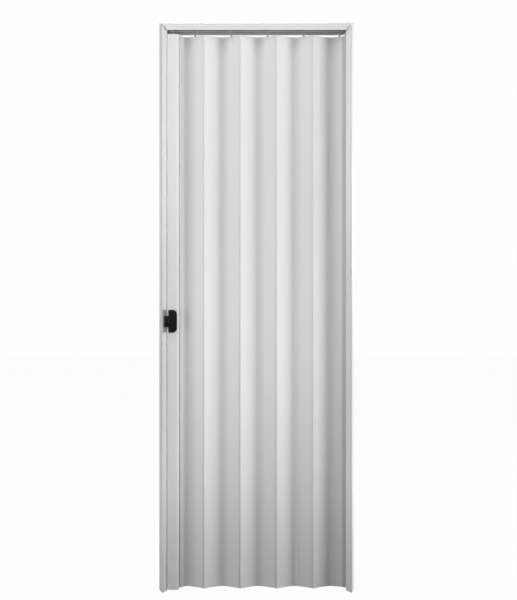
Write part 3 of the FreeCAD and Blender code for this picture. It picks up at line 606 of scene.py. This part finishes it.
def bead(name):
    """The C-shaped bead round the leaf's first hinge line: a thin wall, spun about the line."""
    piece = block(name, (BORE, -0.0001, panel_low), (BEAD, 0.0001, panel_high))
    bpy.ops.object.mode_set(mode="EDIT")
    pick(piece, lambda face: face.normal.y < 0.5)
    bpy.ops.mesh.delete(type="FACE")
    pick(piece, lambda face: True)
    bpy.ops.transform.rotate(value=-LIP_ANGLE, orient_axis="Z", center_override=(0, 0, 0))
    bpy.ops.mesh.spin(steps=BEAD_STEPS, angle=BEAD_SWEEP, center=(0, 0, 0), axis=(0, 0, 1))
    select_all()
    bpy.ops.mesh.remove_doubles(threshold=0.00001)
    bpy.ops.mesh.normals_make_consistent(inside=False)
    bpy.ops.object.mode_set(mode="OBJECT")
    return piece


def bulb(name, at):
    """The solid bulb and its neck, at a distance along the chord."""
    clear_selection()
    height = panel_high - panel_low
    bpy.ops.mesh.primitive_cylinder_add(vertices=32, radius=BULB, depth=height,
                                        location=(at, 0, panel_low + height / 2))
    piece = bpy.context.object
    apply_place(piece)
    neck = block(f"{name}_neck", (at - STOP - SKIN / 2, -NECK / 2, panel_low),
                 (at - BULB + SKIN / 2, NECK / 2, panel_high))
    return join(name, [piece, neck])


print("room round the bulb:", round((BORE - BULB) * 1000, 2), "mm")

# %% [markdown]
# ## All the leaves
#
# The leaves take turns: one has the bead on its left edge, and the next has the bulb on its right
# edge. An edge at a valley is plain, because a soft band joins it. The first leaf is short and clips
# over the post, and the last one runs into the jamb. Each is built along the X axis, where it is easy
# to think about, and only then turned and moved onto its hinge line.

# %% Ten leaves
def stand(piece, leaf):
    """Turn a piece from the leaf's own frame into the door's."""
    piece.rotation_euler.z = leaf.angle
    piece.location = (leaf.start.x, leaf.start.y, 0)
    apply_place(piece)


for index, leaf in enumerate(leaves, start=1):
    name = f"leaf_{index:02d}"
    hinged_left = index % 2 == 1
    first = BEAD - SKIN / 2 if hinged_left else EDGE
    if index == len(leaves):
        last = leaf.chord
    else:
        last = leaf.chord - (EDGE if hinged_left else HOLLOW)
    parts = [board(f"{name}_board", first, last, 1 if index == 1 else 3, leaf)]
    if hinged_left:
        parts.append(bead(f"{name}_bead"))
    elif index < len(leaves):
        drill(parts[0], [(leaf.chord, 0, HIGH / 2)], STOP, "z", HIGH)
        parts.append(bulb(f"{name}_bulb", leaf.chord))
    shell = join(f"{name}_shell", parts)
    stand(shell, leaf)
    dress(complete(shell, leaf_plastic, name), leaf_back, looks_back)
print("leaves:", len(leaves))

# %% [markdown]
# ## The soft valley hinges
#
# Along each valley a band of soft plastic joins two leaves. It lies flush with their front faces and
# bends smoothly, which is why the valleys look broad where the ridges look sharp. The band is a box
# cut into strips and bent until both of its ends run on into the leaves.

# %% Five bent bands
BAND_BACK = 0.0048
BAND_STRIPS = 20


def band(name, left, right):
    """The band from the end of one leaf to the start of the next."""
    begin = left.spot(left.chord - EDGE, -THICK / 2)
    end = right.spot(EDGE, -THICK / 2)
    bend = left.lean(1) - right.lean(0)
    span = end - begin
    radius = span.length / 2 / math.sin(bend / 2)
    reach = radius * bend / 2
    piece = block(name, (-reach, 0, panel_low), (reach, BAND_BACK, panel_high))
    bpy.ops.object.mode_set(mode="EDIT")
    cut([reach * (2 * n / BAND_STRIPS - 1) for n in range(1, BAND_STRIPS)], (1, 0, 0))
    bpy.ops.object.mode_set(mode="OBJECT")
    modify(piece, "SIMPLE_DEFORM", deform_method="BEND", deform_axis="Z", angle=-bend)
    drop = radius * (1 - math.cos(bend / 2))
    tilt = math.atan2(span.y, span.x)
    middle = (begin + end) / 2 + Vector((-math.sin(tilt), math.cos(tilt))) * drop
    piece.rotation_euler.z = tilt
    piece.location = (middle.x, middle.y, 0)
    apply_place(piece)
    return piece


for pleat in range(PLEATS + 1):
    name = f"valley_hinge_{pleat + 1}"
    strip = band(f"{name}_band", leaves[2 * pleat], leaves[2 * pleat + 1])
    dress(complete(strip, soft_plastic, name), leaf_back, looks_back)
print("bands:", PLEATS + 1)

# %% [markdown]
# ## Extruded frame parts
#
# The jambs, head, track and post are all the same shape from end to end, because molten plastic or
# hot metal is pushed through a die. Each one is drawn the way a draughtsman walks round a section:
# one point is pulled along the outline, the outline is filled, and the face is pulled up to length.
# The corners of a real extrusion are never sharp, so the edges are rounded by a third of a
# millimetre, which is what catches the light along the frame.

# %% Sections and how to draw them
FINE_EDGE = 0.00035


def arc(centre, radius, start, end, steps):
    """Points on an arc, with its angles in degrees."""
    x, y = centre
    turns = [math.radians(start + (end - start) * step / steps) for step in range(steps + 1)]
    return [(x + radius * math.cos(turn), y + radius * math.sin(turn)) for turn in turns]


def extrusion(name, loops, low, high):
    """Draw closed loops at one height, fill between them, and pull the face up."""
    clear_selection()
    bpy.ops.mesh.primitive_plane_add(size=0.001, location=(0, 0, 0))
    piece = bpy.context.object
    piece.name = name
    bpy.ops.object.mode_set(mode="EDIT")
    bpy.ops.mesh.select_mode(type="VERT")
    select_all()
    bpy.ops.mesh.delete(type="VERT")
    for loop in loops:
        bpy.ops.mesh.select_all(action="DESELECT")
        bpy.ops.mesh.primitive_plane_add(size=0.001, location=(*loop[0], low))
        bpy.ops.mesh.merge(type="CENTER")
        for begin, end in zip(loop, [*loop[1:], loop[0]]):
            step = (end[0] - begin[0], end[1] - begin[1], 0)
            bpy.ops.mesh.extrude_vertices_move(TRANSFORM_OT_translate={"value": step})
    select_all()
    bpy.ops.mesh.remove_doubles(threshold=0.00001)
    select_all()
    bpy.ops.mesh.fill(use_beauty=True)
    select_all()
    bpy.ops.mesh.dissolve_limited(angle_limit=0.01)
    select_all()
    pull(high - low)
    select_all()
    bpy.ops.mesh.normals_make_consistent(inside=False)
    bpy.ops.object.mode_set(mode="OBJECT")
    return piece


def trim(piece, place, normal):
    """Saw off what lies on the normal's side of a plane, and close the cut."""
    choose(piece)
    bpy.ops.object.mode_set(mode="EDIT")
    select_all()
    bpy.ops.mesh.bisect(plane_co=place, plane_no=normal, clear_outer=True, use_fill=True)
    bpy.ops.object.mode_set(mode="OBJECT")


print("a quarter arc in 8 steps has", len(arc((0, 0), FINE_EDGE, 0, 90, 8)), "points")

# %% [markdown]
# ## A jamb's section
#
# A jamb is a hollow profile. Its web lies against the wall, its flanks rise to a slim crest in front
# and behind, and its mouth takes the edge of the curtain. The section is two closed loops, the
# outside and the chamber, and what is filled between them is the wall.

# %% The section of a jamb
WALL = 0.0015
WEB = 0.008
# Where the crest starts, how wide its nose is and how round
CREST = 0.0115
FLAT = 0.002
CREST_ROUND = 0.0015
PEAK = -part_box("left_jamb")[0][1] - CREST_ROUND + math.sqrt(CREST_ROUND ** 2 - FLAT ** 2 / 4)
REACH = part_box("left_jamb")[1][0]
# The mouth's half width, its floor, and its half width with the wall
MOUTH = 0.011
FLOOR = 0.0125
LIP = MOUTH + WALL
bow_angle = math.degrees(math.asin(FLAT / 2 / CREST_ROUND))
crest_centre = -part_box("left_jamb")[0][1] - CREST_ROUND


def crest_arc(x, y, middle):
    """The round nose of a crest, about the middle direction in degrees."""
    return arc((x, y), CREST_ROUND, middle - bow_angle, middle + bow_angle, 6)


nose = CREST + FLAT / 2
jamb_outside = [
    (0, -WEB), *crest_arc(nose, -crest_centre, -90), (REACH, -LIP), (REACH, -MOUTH),
    (FLOOR, -MOUTH), (FLOOR, MOUTH), (REACH, MOUTH), (REACH, LIP), *crest_arc(nose, crest_centre, 90),
    (0, WEB),
]
fold = REACH - 3 * WALL
core = crest_centre + CREST_ROUND - 2 * WALL
jamb_inside = [
    (WALL, -WEB + WALL / 4), (nose, -core), (fold, -LIP - WALL / 2), (fold, -LIP),
    (FLOOR - WALL, -LIP), (FLOOR - WALL, LIP), (fold, LIP), (fold, LIP + WALL / 2), (nose, core),
    (WALL, WEB - WALL / 4),
]
print("jamb:", round(REACH * 1000, 1), "mm wide, crest at", round(PEAK * 1000, 2), "mm")

# %% [markdown]
# ## Two jambs
#
# Both jambs are the same extrusion, and the right one is turned half round. The top is sawn at 45
# degrees, a hair below the corner, so that the mitre shows as a fine gap. Two screws go through the
# web, and a wide hole in the floor of the mouth lets the screwdriver in.

# %% Two jambs
MITRE_GAP = 0.0001
SCREW = 0.0021
SCREWDRIVER = 0.005
SCREW_LEVELS = (0.25, 1.85)
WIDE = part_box("right_jamb")[1][0]
for side in ("left", "right"):
    jamb = extrusion(f"{side}_jamb_profile", [jamb_outside, jamb_inside], 0, HIGH)
    soften(jamb, FINE_EDGE, 2, 20.0)
    trim(jamb, (0, 0, HIGH - MITRE_GAP / 2), (1, 0, 1))
    for x, radius in ((WALL / 2, SCREW), (FLOOR - WALL / 2, SCREWDRIVER)):
        drill(jamb, [(x, 0, level) for level in SCREW_LEVELS], radius, "x", 2 * WALL)
    if side == "right":
        jamb.rotation_euler.z = math.pi
        jamb.location.x = WIDE
        apply_place(jamb)
    complete(jamb, frame_plastic, f"{side}_jamb")
print("jambs: 2, the opening between them is", round((WIDE - 2 * REACH) * 1000), "mm")

# %% [markdown]
# ## Head channel
#
# The head has the same crest as the jambs, so that the mitres meet all round. It is open below, and
# it hides the track. Its ends are sawn to match the jambs. The faces inside it wear a darker copy of
# its plastic: painted shade inside the channel.

# %% The head
HEAD_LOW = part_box("head_channel")[0][2]
HEAD_LIP = 0.022
LINTEL_INSET = 0.11
LINTEL_SCREWS = (LINTEL_INSET, WIDE - LINTEL_INSET)


def looks_in(face):
    """Whether a face of the head looks towards the middle of the frame."""
    side = face.calc_center_median().y
    return abs(face.normal.y) > 0.2 and face.normal.y * side < 0


under = HIGH - WALL
shoulder = HIGH - CREST - WALL / 2
half = crest_centre + CREST_ROUND
head_half = [
    (-WEB, HIGH), *crest_arc(-crest_centre, HIGH - nose, 180), (-HEAD_LIP, HEAD_LOW),
    (-HEAD_LIP + WALL, HEAD_LOW), (-half + WALL, shoulder - FLAT), (-half + WALL, shoulder),
    (-WEB, under),
]
head_section = [*head_half, *[(-x, y) for x, y in reversed(head_half)]]
head = extrusion("head_profile", [head_section], 0, WIDE)
head.rotation_euler = (math.pi / 2, 0, math.pi / 2)
apply_place(head)
soften(head, FINE_EDGE, 2, 20.0)
trim(head, (0, 0, HIGH), (-1, 0, -1))
trim(head, (WIDE, 0, HIGH), (1, 0, -1))
drill(head, [(x, 0, HIGH - WALL / 2) for x in LINTEL_SCREWS], SCREW, "z", 2 * WALL)
# The faces inside the channel wear the painted shade
dress(complete(head, head_lit_plastic, "head_channel"), head_shaded_inside, looks_in)
print("head:", len(head_section), "points in its section")

# %% [markdown]
# ## Track
#
# The track is a thin metal C, slotted below, screwed up through its thick back. The shoes of the
# hangers slide on the two lips of the slot.

# %% The track
(track_start, _, TRACK_LOW), (track_end, _, _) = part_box("track_rail")
TRACK_HALF = 0.015
TRACK_HIGH = 0.017
TRACK_WALL = 0.0016
SLOT = 0.0056
PAD = 0.0065
PAD_BORE = 0.010
TRACK_EDGE = 0.0002
inner = TRACK_HALF - TRACK_WALL
track_top = TRACK_LOW + TRACK_HIGH
lip_top = TRACK_LOW + TRACK_WALL
track_half = [
    (-PAD, under), (-PAD, track_top), (-TRACK_HALF, track_top), (-TRACK_HALF, TRACK_LOW),
    (-SLOT, TRACK_LOW), (-SLOT, lip_top), (-inner, lip_top), (-inner, track_top - TRACK_WALL),
]
track_section = [*track_half, *[(-x, y) for x, y in reversed(track_half)]]
track = extrusion("track_profile", [track_section], track_start, track_end)
track.rotation_euler = (math.pi / 2, 0, math.pi / 2)
apply_place(track)
soften(track, TRACK_EDGE, 2, 20.0)
pad_middle = (under + track_top - TRACK_WALL) / 2
drill(track, [(x, 0, pad_middle) for x in LINTEL_SCREWS], SCREW, "z", PAD_BORE)
complete(track, track_metal, "track_rail")
print("track:", round((track_end - track_start) * 1000), "mm long")

# %% [markdown]
# ## Lock post
#
# The post leads the curtain. It is a hollow box with a bevel towards the jamb, a tongue that closes
# into the jamb's mouth, round corners on the other side, and a bulb that the first leaf clips over.
# The measured post has holes for the latch's spindle. They are missing here, under the handles.

# %% The post
(TONGUE_TIP, _, post_low), (_, POST_HALF, post_high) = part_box("lock_post")
POST_LEFT, POST_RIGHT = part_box("post_bottom_cap")[0][0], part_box("post_bottom_cap")[1][0]
POST_ROUND = 0.009
POST_WALL = 0.0014
BEVEL_WIDE = 0.0092
BEVEL_DEEP = 0.0035
TONGUE_HALF = 0.0095


def post_corners(inset):
    """The round corners of the post, front and back, at an inset from its faces."""
    x, y = POST_RIGHT - POST_ROUND, POST_HALF - POST_ROUND
    front = arc((x, -y), POST_ROUND - inset, -90, 0, 10)
    return front, [(px, -py) for px, py in reversed(front)]


front_corner, back_corner = post_corners(0)
neck_turn = math.degrees(math.asin(NECK / 2 / BULB))
bulb_arc = arc(post_hinge, BULB, -180 + neck_turn, 180 - neck_turn, 28)
post_outside = [
    (POST_LEFT, -POST_HALF + BEVEL_DEEP), (POST_LEFT + BEVEL_WIDE, -POST_HALF), *front_corner,
    (POST_RIGHT, post_hinge.y - NECK / 2), *bulb_arc, (POST_RIGHT, post_hinge.y + NECK / 2),
    *back_corner, (POST_LEFT + BEVEL_WIDE, POST_HALF), (POST_LEFT, POST_HALF - BEVEL_DEEP),
    (POST_LEFT, TONGUE_HALF), (TONGUE_TIP, TONGUE_HALF), (TONGUE_TIP, -TONGUE_HALF),
    (POST_LEFT, -TONGUE_HALF),
]
front_core, back_core = post_corners(POST_WALL)
chamber = POST_HALF - POST_WALL
post_inside = [
    (POST_LEFT + POST_WALL, -chamber + BEVEL_DEEP), (POST_LEFT + BEVEL_WIDE + POST_WALL, -chamber),
    *front_core, *back_core, (POST_LEFT + BEVEL_WIDE + POST_WALL, chamber),
    (POST_LEFT + POST_WALL, chamber - BEVEL_DEEP),
]
tongue_core = [
    (TONGUE_TIP + POST_WALL, POST_WALL - TONGUE_HALF), (POST_LEFT, POST_WALL - TONGUE_HALF),
    (POST_LEFT, TONGUE_HALF - POST_WALL), (TONGUE_TIP + POST_WALL, TONGUE_HALF - POST_WALL),
]
post = extrusion("lock_post_profile", [post_outside, post_inside, tongue_core], post_low, post_high)
soften(post, FINE_EDGE, 2, 15.0)
complete(post, post_plastic, "lock_post")
print("post:", round((POST_RIGHT - POST_LEFT) * 1000, 1), "mm wide")

# %% [markdown]
# ## Post caps
#
# A cut extrusion shows its chambers, so a moulded cap closes each end of the post. Its plate has the
# post's own outline, and a plug with thinner sides reaches into the chamber and holds it. In edit
# mode the plug is the plate's inner face, inset by the wall and pulled out.

# %% Two caps
SNUG = 0.0002
CAP_PLUG = 0.006
CAP_EDGE = 0.0003
CAP_BORE = 0.03
HANGER_X = 0.05
PIN = 0.0016
cap_outline = [
    (POST_LEFT, -POST_HALF + BEVEL_DEEP), (POST_LEFT + BEVEL_WIDE, -POST_HALF), *front_corner,
    *back_corner, (POST_LEFT + BEVEL_WIDE, POST_HALF), (POST_LEFT, POST_HALF - BEVEL_DEEP),
]
for name, inward in (("post_top_cap", -1), ("post_bottom_cap", 1)):
    low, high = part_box(name)
    plate_low, plate_high = (post_high, high[2]) if inward < 0 else (low[2], post_low)
    cap = extrusion(f"{name}_moulding", [cap_outline], plate_low, plate_high)
    soften(cap, CAP_EDGE, 2, 50.0)
    bpy.ops.object.mode_set(mode="EDIT")
    pick(cap, lambda face: face.normal.z * inward > 0.99)
    bpy.ops.mesh.inset(thickness=POST_WALL + SNUG)
    pull(inward * CAP_PLUG)
    bpy.ops.object.mode_set(mode="OBJECT")
    if inward < 0:
        drill(cap, [(HANGER_X, 0, plate_high)], PIN + SNUG, "z", CAP_BORE)
    complete(cap, post_plastic, name)
print("caps: 2")

# %% [markdown]
# ## End clip
#
# The far edge of the curtain doesn't move. A long U of plastic sits in the mouth of the right jamb
# and grips the last leaf, so the U is turned by the slope at which that leaf arrives.

# %% The clip
CLIP_WALL = 0.0012
CLIP_GRIP = 0.009
CLIP_EDGE = 0.00025
SIDE_ROOM = 0.0004
END_ROOM = 0.0003
clip_inner = THICK / 2 + SIDE_ROOM
clip_outer = clip_inner + CLIP_WALL
clip_room = THICK * 2 * BOW / leaves[-1].chord + END_ROOM
clip_back = clip_room + CLIP_WALL
clip_section = [
    (-CLIP_GRIP, -clip_outer), (clip_back, -clip_outer), (clip_back, clip_outer),
    (-CLIP_GRIP, clip_outer), (-CLIP_GRIP, clip_inner), (clip_room, clip_inner),
    (clip_room, -clip_inner), (-CLIP_GRIP, -clip_inner),
]
clip = extrusion("end_clip_profile", [clip_section], panel_low, panel_high)
soften(clip, CLIP_EDGE, 2, 50.0)
clip.rotation_euler.z = leaves[-1].lean(1)
clip.location = (clip_end.x, clip_end.y, 0)
apply_place(clip)
complete(clip, frame_plastic, "end_clip")
print("clip:", round((panel_high - panel_low) * 1000), "mm long")

# %% [markdown]
# ## Rods and shoes
#
# Each hanger is moulded in one piece from a rod and a sliding shoe. The rod is made the way a lathe
# works: a disc is pulled up in steps, and scaled to a new radius at each. The shoe is a block with
# large round edges, and a pocket in its top that saves plastic.

# %% A rod and a shoe
ROD_SIDES = 32
SHOE_LONG = 0.024
SHOE_HALF = 0.011
SHOE_HIGH = 0.006
SHOE_EDGE = 0.0012
POCKET_RIM = 0.0018
POCKET_DEEP = 0.002


def turned(name, x, y, steps):
    """A round piece about a line at x, y, through steps of radius and height."""
    clear_selection()
    radius, level = steps[0]
    bpy.ops.mesh.primitive_circle_add(vertices=ROD_SIDES, radius=radius, fill_type="NGON",
                                      location=(x, y, level))
    piece = bpy.context.object
    piece.name = name
    bpy.ops.object.mode_set(mode="EDIT")
    select_all()
    for next_radius, next_level in steps[1:]:
        pull(next_level - level)
        ratio = next_radius / radius
        bpy.ops.transform.resize(value=(ratio, ratio, 1), center_override=(x, y, next_level))
        radius, level = next_radius, next_level
    select_all()
    bpy.ops.mesh.normals_make_consistent(inside=False)
    bpy.ops.object.mode_set(mode="OBJECT")
    apply_place(piece)
    return piece


def shoe(name, x, low):
    """The sliding shoe: a block with round ends and a pocket pressed into its top."""
    piece = block(name, (x - SHOE_LONG / 2, -SHOE_HALF, low),
                  (x + SHOE_LONG / 2, SHOE_HALF, low + SHOE_HIGH))
    soften(piece, SHOE_EDGE, 3, 50.0)
    bpy.ops.object.mode_set(mode="EDIT")
    pick(piece, lambda face: face.normal.z > 0.99)
    bpy.ops.mesh.inset(thickness=POCKET_RIM)
    pull(-POCKET_DEEP)
    bpy.ops.object.mode_set(mode="OBJECT")
    return piece


print("shoe:", round(SHOE_LONG * 1000), "mm long")

# %% [markdown]
# ## Hangers
#
# The shoe slides inside the track, the stem comes down through the slot, and a collar rests on the
# leaf with a pin below it in the leaf's chamber. One hanger carries the post, and every second leaf
# has one at its middle.

# %% Six hangers
COLLAR = 0.0042
COLLAR_HIGH = 0.0032
STEM = 0.0020
SEAT = 0.0003
ROUND = 0.0004
hanger_spots = [Vector((HANGER_X, 0)), *[leaf.spot(leaf.chord / 2, 0) for leaf in leaves[1::2]]]
shoe_low = TRACK_LOW + TRACK_WALL + SEAT
for number, spot in enumerate(hanger_spots, start=1):
    name = f"hanger_{number}"
    foot = (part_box("post_top_cap")[1][2] if number == 1 else panel_high) + SEAT
    pin_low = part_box(name)[0][2]
    top = foot + COLLAR_HIGH
    rod = turned(f"{name}_rod", spot.x, spot.y, [
        (PIN - ROUND, pin_low), (PIN, pin_low + ROUND), (PIN, foot), (COLLAR - ROUND, foot),
        (COLLAR, foot + ROUND), (COLLAR, top - ROUND), (COLLAR - ROUND, top), (STEM, top),
        (STEM, shoe_low + SHOE_HIGH / 2),
    ])
    whole = join(f"{name}_moulding", [rod, shoe(f"{name}_shoe", spot.x, shoe_low)])
    complete(whole, hanger_plastic, name)
print("hangers:", len(hanger_spots))

# %% [markdown]
# ## Handles
#
# The two handles are black mouldings with a straight side towards the jamb and a round one away from
# it, so that fingers don't catch. A moulding has a rounded rim, because a sharp one would feel
# harsh and would not leave the mould. The front handle has a slot in its straight side for the bolt.

# %% Front and back handle
HANDLE_ROUND = 0.017
HANDLE_RIM = 0.0024
BOLT_ROOM = 0.0003
CLEAR_OF_HOLE = 0.02
BOLT_LOW, BOLT_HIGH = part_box("latch_bolt")


def handle(name, side):
    """One handle; side is -1 for the front and 1 for the back."""
    low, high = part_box(name)
    corner_x = high[0] - HANDLE_ROUND
    outline = [
        (low[0], -high[2]), *arc((corner_x, -high[2] + HANDLE_ROUND), HANDLE_ROUND, -90, 0, 12),
        *arc((corner_x, -low[2] - HANDLE_ROUND), HANDLE_ROUND, 0, 90, 12), (low[0], -low[2]),
    ]
    piece = extrusion(f"{name}_moulding", [outline], low[1], high[1])
    piece.rotation_euler.x = -math.pi / 2
    apply_place(piece)
    bpy.ops.object.mode_set(mode="EDIT")
    outer = low[1] if side < 0 else high[1]
    pick(piece, lambda edge: all(abs(vert.co.y - outer) < 1e-6 for vert in edge.verts), "edges")
    bpy.ops.mesh.bevel(offset=HANDLE_RIM, segments=5, profile=0.5)
    bpy.ops.object.mode_set(mode="OBJECT")
    soften(piece, FINE_EDGE, 2, 50.0)
    return piece


front = handle("front_handle", -1)
around_low = [place - BOLT_ROOM for place in BOLT_LOW]
around_high = [place + BOLT_ROOM for place in BOLT_HIGH]
slot_low = [BOLT_LOW[0] - CLEAR_OF_HOLE, *around_low[1:]]
subtract(front, block("slot_block", slot_low, around_high))
complete(front, latch_plastic, "front_handle", smooth=40.0)
complete(handle("back_handle", 1), latch_plastic, "back_handle", smooth=40.0)
print("handles: 2")

# %% [markdown]
# ## Keeper, bolt and spindle
#
# The keeper sits on the sloping flank of the jamb, so its back is cut to that slope, and it is open
# towards the handle for the bolt. The bolt is a flat bar with its edges broken, and the spindle is a
# plain rod that joins the two handles through the post.

# %% The keeper, the bolt and the spindle
KEEPER_EDGE = 0.0007
BOLT_EDGE = 0.0004
keeper_low, keeper_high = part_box("latch_keeper")
fall = (PEAK - LIP) / (REACH - CREST - FLAT)
flank = PEAK + SEAT
clear = POST_HALF + SEAT
keeper_section = [
    (keeper_low[0], keeper_low[1]), (keeper_high[0], keeper_low[1]), (keeper_high[0], -clear),
    (CREST + FLAT + (flank - clear) / fall, -clear),
    (keeper_low[0], -flank + (keeper_low[0] - CREST - FLAT) * fall),
]
keeper = extrusion("latch_keeper_moulding", [keeper_section], keeper_low[2], keeper_high[2])
soften(keeper, KEEPER_EDGE, 3, 30.0)
pocket_high = [BOLT_HIGH[0] + CLEAR_OF_HOLE, *around_high[1:]]
subtract(keeper, block("pocket_block", around_low, pocket_high))
complete(keeper, latch_plastic, "latch_keeper", smooth=40.0)

bolt = block("latch_bolt_bar", BOLT_LOW, BOLT_HIGH)
soften(bolt, BOLT_EDGE, 2, 50.0)
complete(bolt, latch_steel, "latch_bolt")

spindle_low, spindle_high = (Vector(corner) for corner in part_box("latch_spindle"))
spindle_radius = (spindle_high.x - spindle_low.x) / 2
spindle_middle = (spindle_low + spindle_high) / 2
spindle = turned("latch_spindle_rod", 0, 0, [
    (spindle_radius - ROUND, -POST_HALF), (spindle_radius, -POST_HALF + ROUND),
    (spindle_radius, POST_HALF - ROUND), (spindle_radius - ROUND, POST_HALF),
])
spindle.rotation_euler.x = math.pi / 2
spindle.location = (spindle_middle.x, 0, spindle_middle.z)
apply_place(spindle)
complete(spindle, latch_steel, "latch_spindle")
print("latch pieces: 3")

# %% [markdown]
# ## Camera
#
# The photograph looks straight at the door from a little over two metres, at the height of the
# latch, from left of the middle. A shifted lens keeps the door in the middle of the frame, and keeps
# its jambs upright.

# %% Camera
EYE = (0.1353, -2.128, 1.073)
LENS = 34.33
SENSOR = 36.0
SHIFT = (0.1044, 0.0007)
camera = bpy.data.objects.new("camera", bpy.data.cameras.new("camera"))
bpy.context.scene.collection.objects.link(camera)
camera.location = EYE
camera.rotation_euler = (math.radians(90), 0, 0)
camera.data.lens = LENS
camera.data.sensor_width = SENSOR
camera.data.shift_x, camera.data.shift_y = SHIFT
bpy.context.scene.camera = camera
print("camera:", EYE, "lens", LENS, "mm")

# %% [markdown]
# ## A white backdrop
#
# The backdrop is white to the camera and to anything that reflects it, but it lights nothing else,
# so the lamps alone shade the pleats. The Light Path node tells which kind of ray is looking.

# %% The world
BACKDROP = 0.985
world = bpy.data.worlds.new("studio")
world.use_nodes = True
bpy.context.scene.world = world


def seen_white(tree):
    """One where the camera, a reflection or a clear surface looks, and nothing elsewhere."""
    path = tree.nodes.new("ShaderNodeLightPath")
    rays = [Wire(path.outputs[f"Is {kind} Ray"]) for kind in ("Camera", "Glossy", "Transmission")]
    return rays[0] + rays[1] + rays[2]


background = world.node_tree.nodes["Background"]
background.inputs["Color"].default_value = (BACKDROP, BACKDROP, BACKDROP, 1)
world.node_tree.links.new(seen_white(world.node_tree).socket, background.inputs["Strength"])
print("backdrop:", BACKDROP)

# %% [markdown]
# ## The studio's lamps
#
# A pleat that faces left is lit by the lamps on the left, and its neighbour by those on the right,
# and the difference between them draws the zigzag. The side lamps stand far off, so that the near
# pleats aren't brighter than the far ones. The spots make the door fade towards the floor, and a
# steep panel over the front lets the head throw its soft shadow down the tops of the pleats. Three
# weak panels behind keep the back from going black in other views.

# %% Nine lamps
DOOR_MIDDLE = (WIDE / 2, 0.0)


def lamp(name, kind, energy, place, aim_height, **settings):
    """A lamp at a place, turned towards the middle of the door at a height."""
    data = bpy.data.lights.new(name, kind)
    data.energy = energy
    for key, value in settings.items():
        setattr(data, key, value)
    item = bpy.data.objects.new(name, data)
    bpy.context.scene.collection.objects.link(item)
    item.location = place
    aim = Vector((*DOOR_MIDDLE, aim_height)) - Vector(place)
    item.rotation_euler = aim.to_track_quat("-Z", "Y").to_euler()


def beside(bearing, distance, height):
    """A place at a bearing from straight in front of the door, positive to the right."""
    turn = math.radians(bearing)
    return (DOOR_MIDDLE[0] + distance * math.sin(turn), -distance * math.cos(turn), height)


def beam(angle, softness, blend=1.0):
    """A spot's cone in degrees, the size of its bulb, and how softly the cone ends."""
    return {"spot_size": math.radians(angle), "shadow_soft_size": softness, "spot_blend": blend}


lamp("left_panel", "AREA", 101.0, beside(-45, 5.0, 1.0), 1.0, size=2.0)
lamp("right_panel", "AREA", 248.0, beside(80, 6.0, 1.0), 1.0, size=2.0)
lamp("front_spot", "SPOT", 129.0, beside(0, 3.4, 2.4), 1.55, **beam(38, 0.35, 0.8))
lamp("right_high_spot", "SPOT", 186.0, beside(68, 6.0, 3.4), 1.55, **beam(24, 0.5))
lamp("right_low_spot", "SPOT", 289.0, beside(55, 6.0, 1.2), 0.60, **beam(12, 0.5))
lamp("over_front", "AREA", 10.4, beside(-20, 1.1, 3.6), 1.3, size=0.6)
lamp("over_back", "AREA", 9.0, beside(180, 0.9, 3.0), 1.2, size=1.0)
lamp("back_left", "AREA", 23.0, beside(-140, 2.4, 1.5), 1.0, size=1.0)
lamp("back_right", "AREA", 16.0, beside(130, 2.4, 1.5), 1.0, size=1.0)
print("lamps: 9")

# %% [markdown]
# ## Floor
#
# The floor is pale and plain. It is bright to the camera and in reflections, as a white studio floor
# is, and still takes the soft shadow under the door.

# %% A pale floor
FLOOR_SIZE = 14
FLOOR_GLOW = 0.97
clear_selection()
bpy.ops.mesh.primitive_plane_add(size=FLOOR_SIZE, location=(WIDE / 2, 2.0, 0))
floor = bpy.context.object
floor.name = "floor"
apply_place(floor)
floor_white, floor_shader, floor_place = new_material("floor_white")
plug(floor_shader, Base_Color=floor_place.noise(3.0).mixed((0.50, 0.50, 0.50), (0.54, 0.54, 0.54)))
floor_shader.inputs["Roughness"].default_value = 0.9
tree = floor_white.node_tree
glow = floor_place.node("ShaderNodeEmission", {"Color": (1, 1, 1, 1), "Strength": 1.0})
sockets = {0: seen_white(tree) * FLOOR_GLOW, 1: Wire(floor_shader.outputs[0]), 2: glow}
blend = floor_place.node("ShaderNodeMixShader", sockets)
tree.links.new(blend.socket, tree.nodes["Material Output"].inputs["Surface"])
floor.data.materials.append(floor_white)
print("floor:", FLOOR_SIZE, "m wide")

# %% [markdown]
# ## View settings
#
# The colours are left as they come.

# %% View settings
bpy.context.scene.view_settings.view_transform = "Standard"
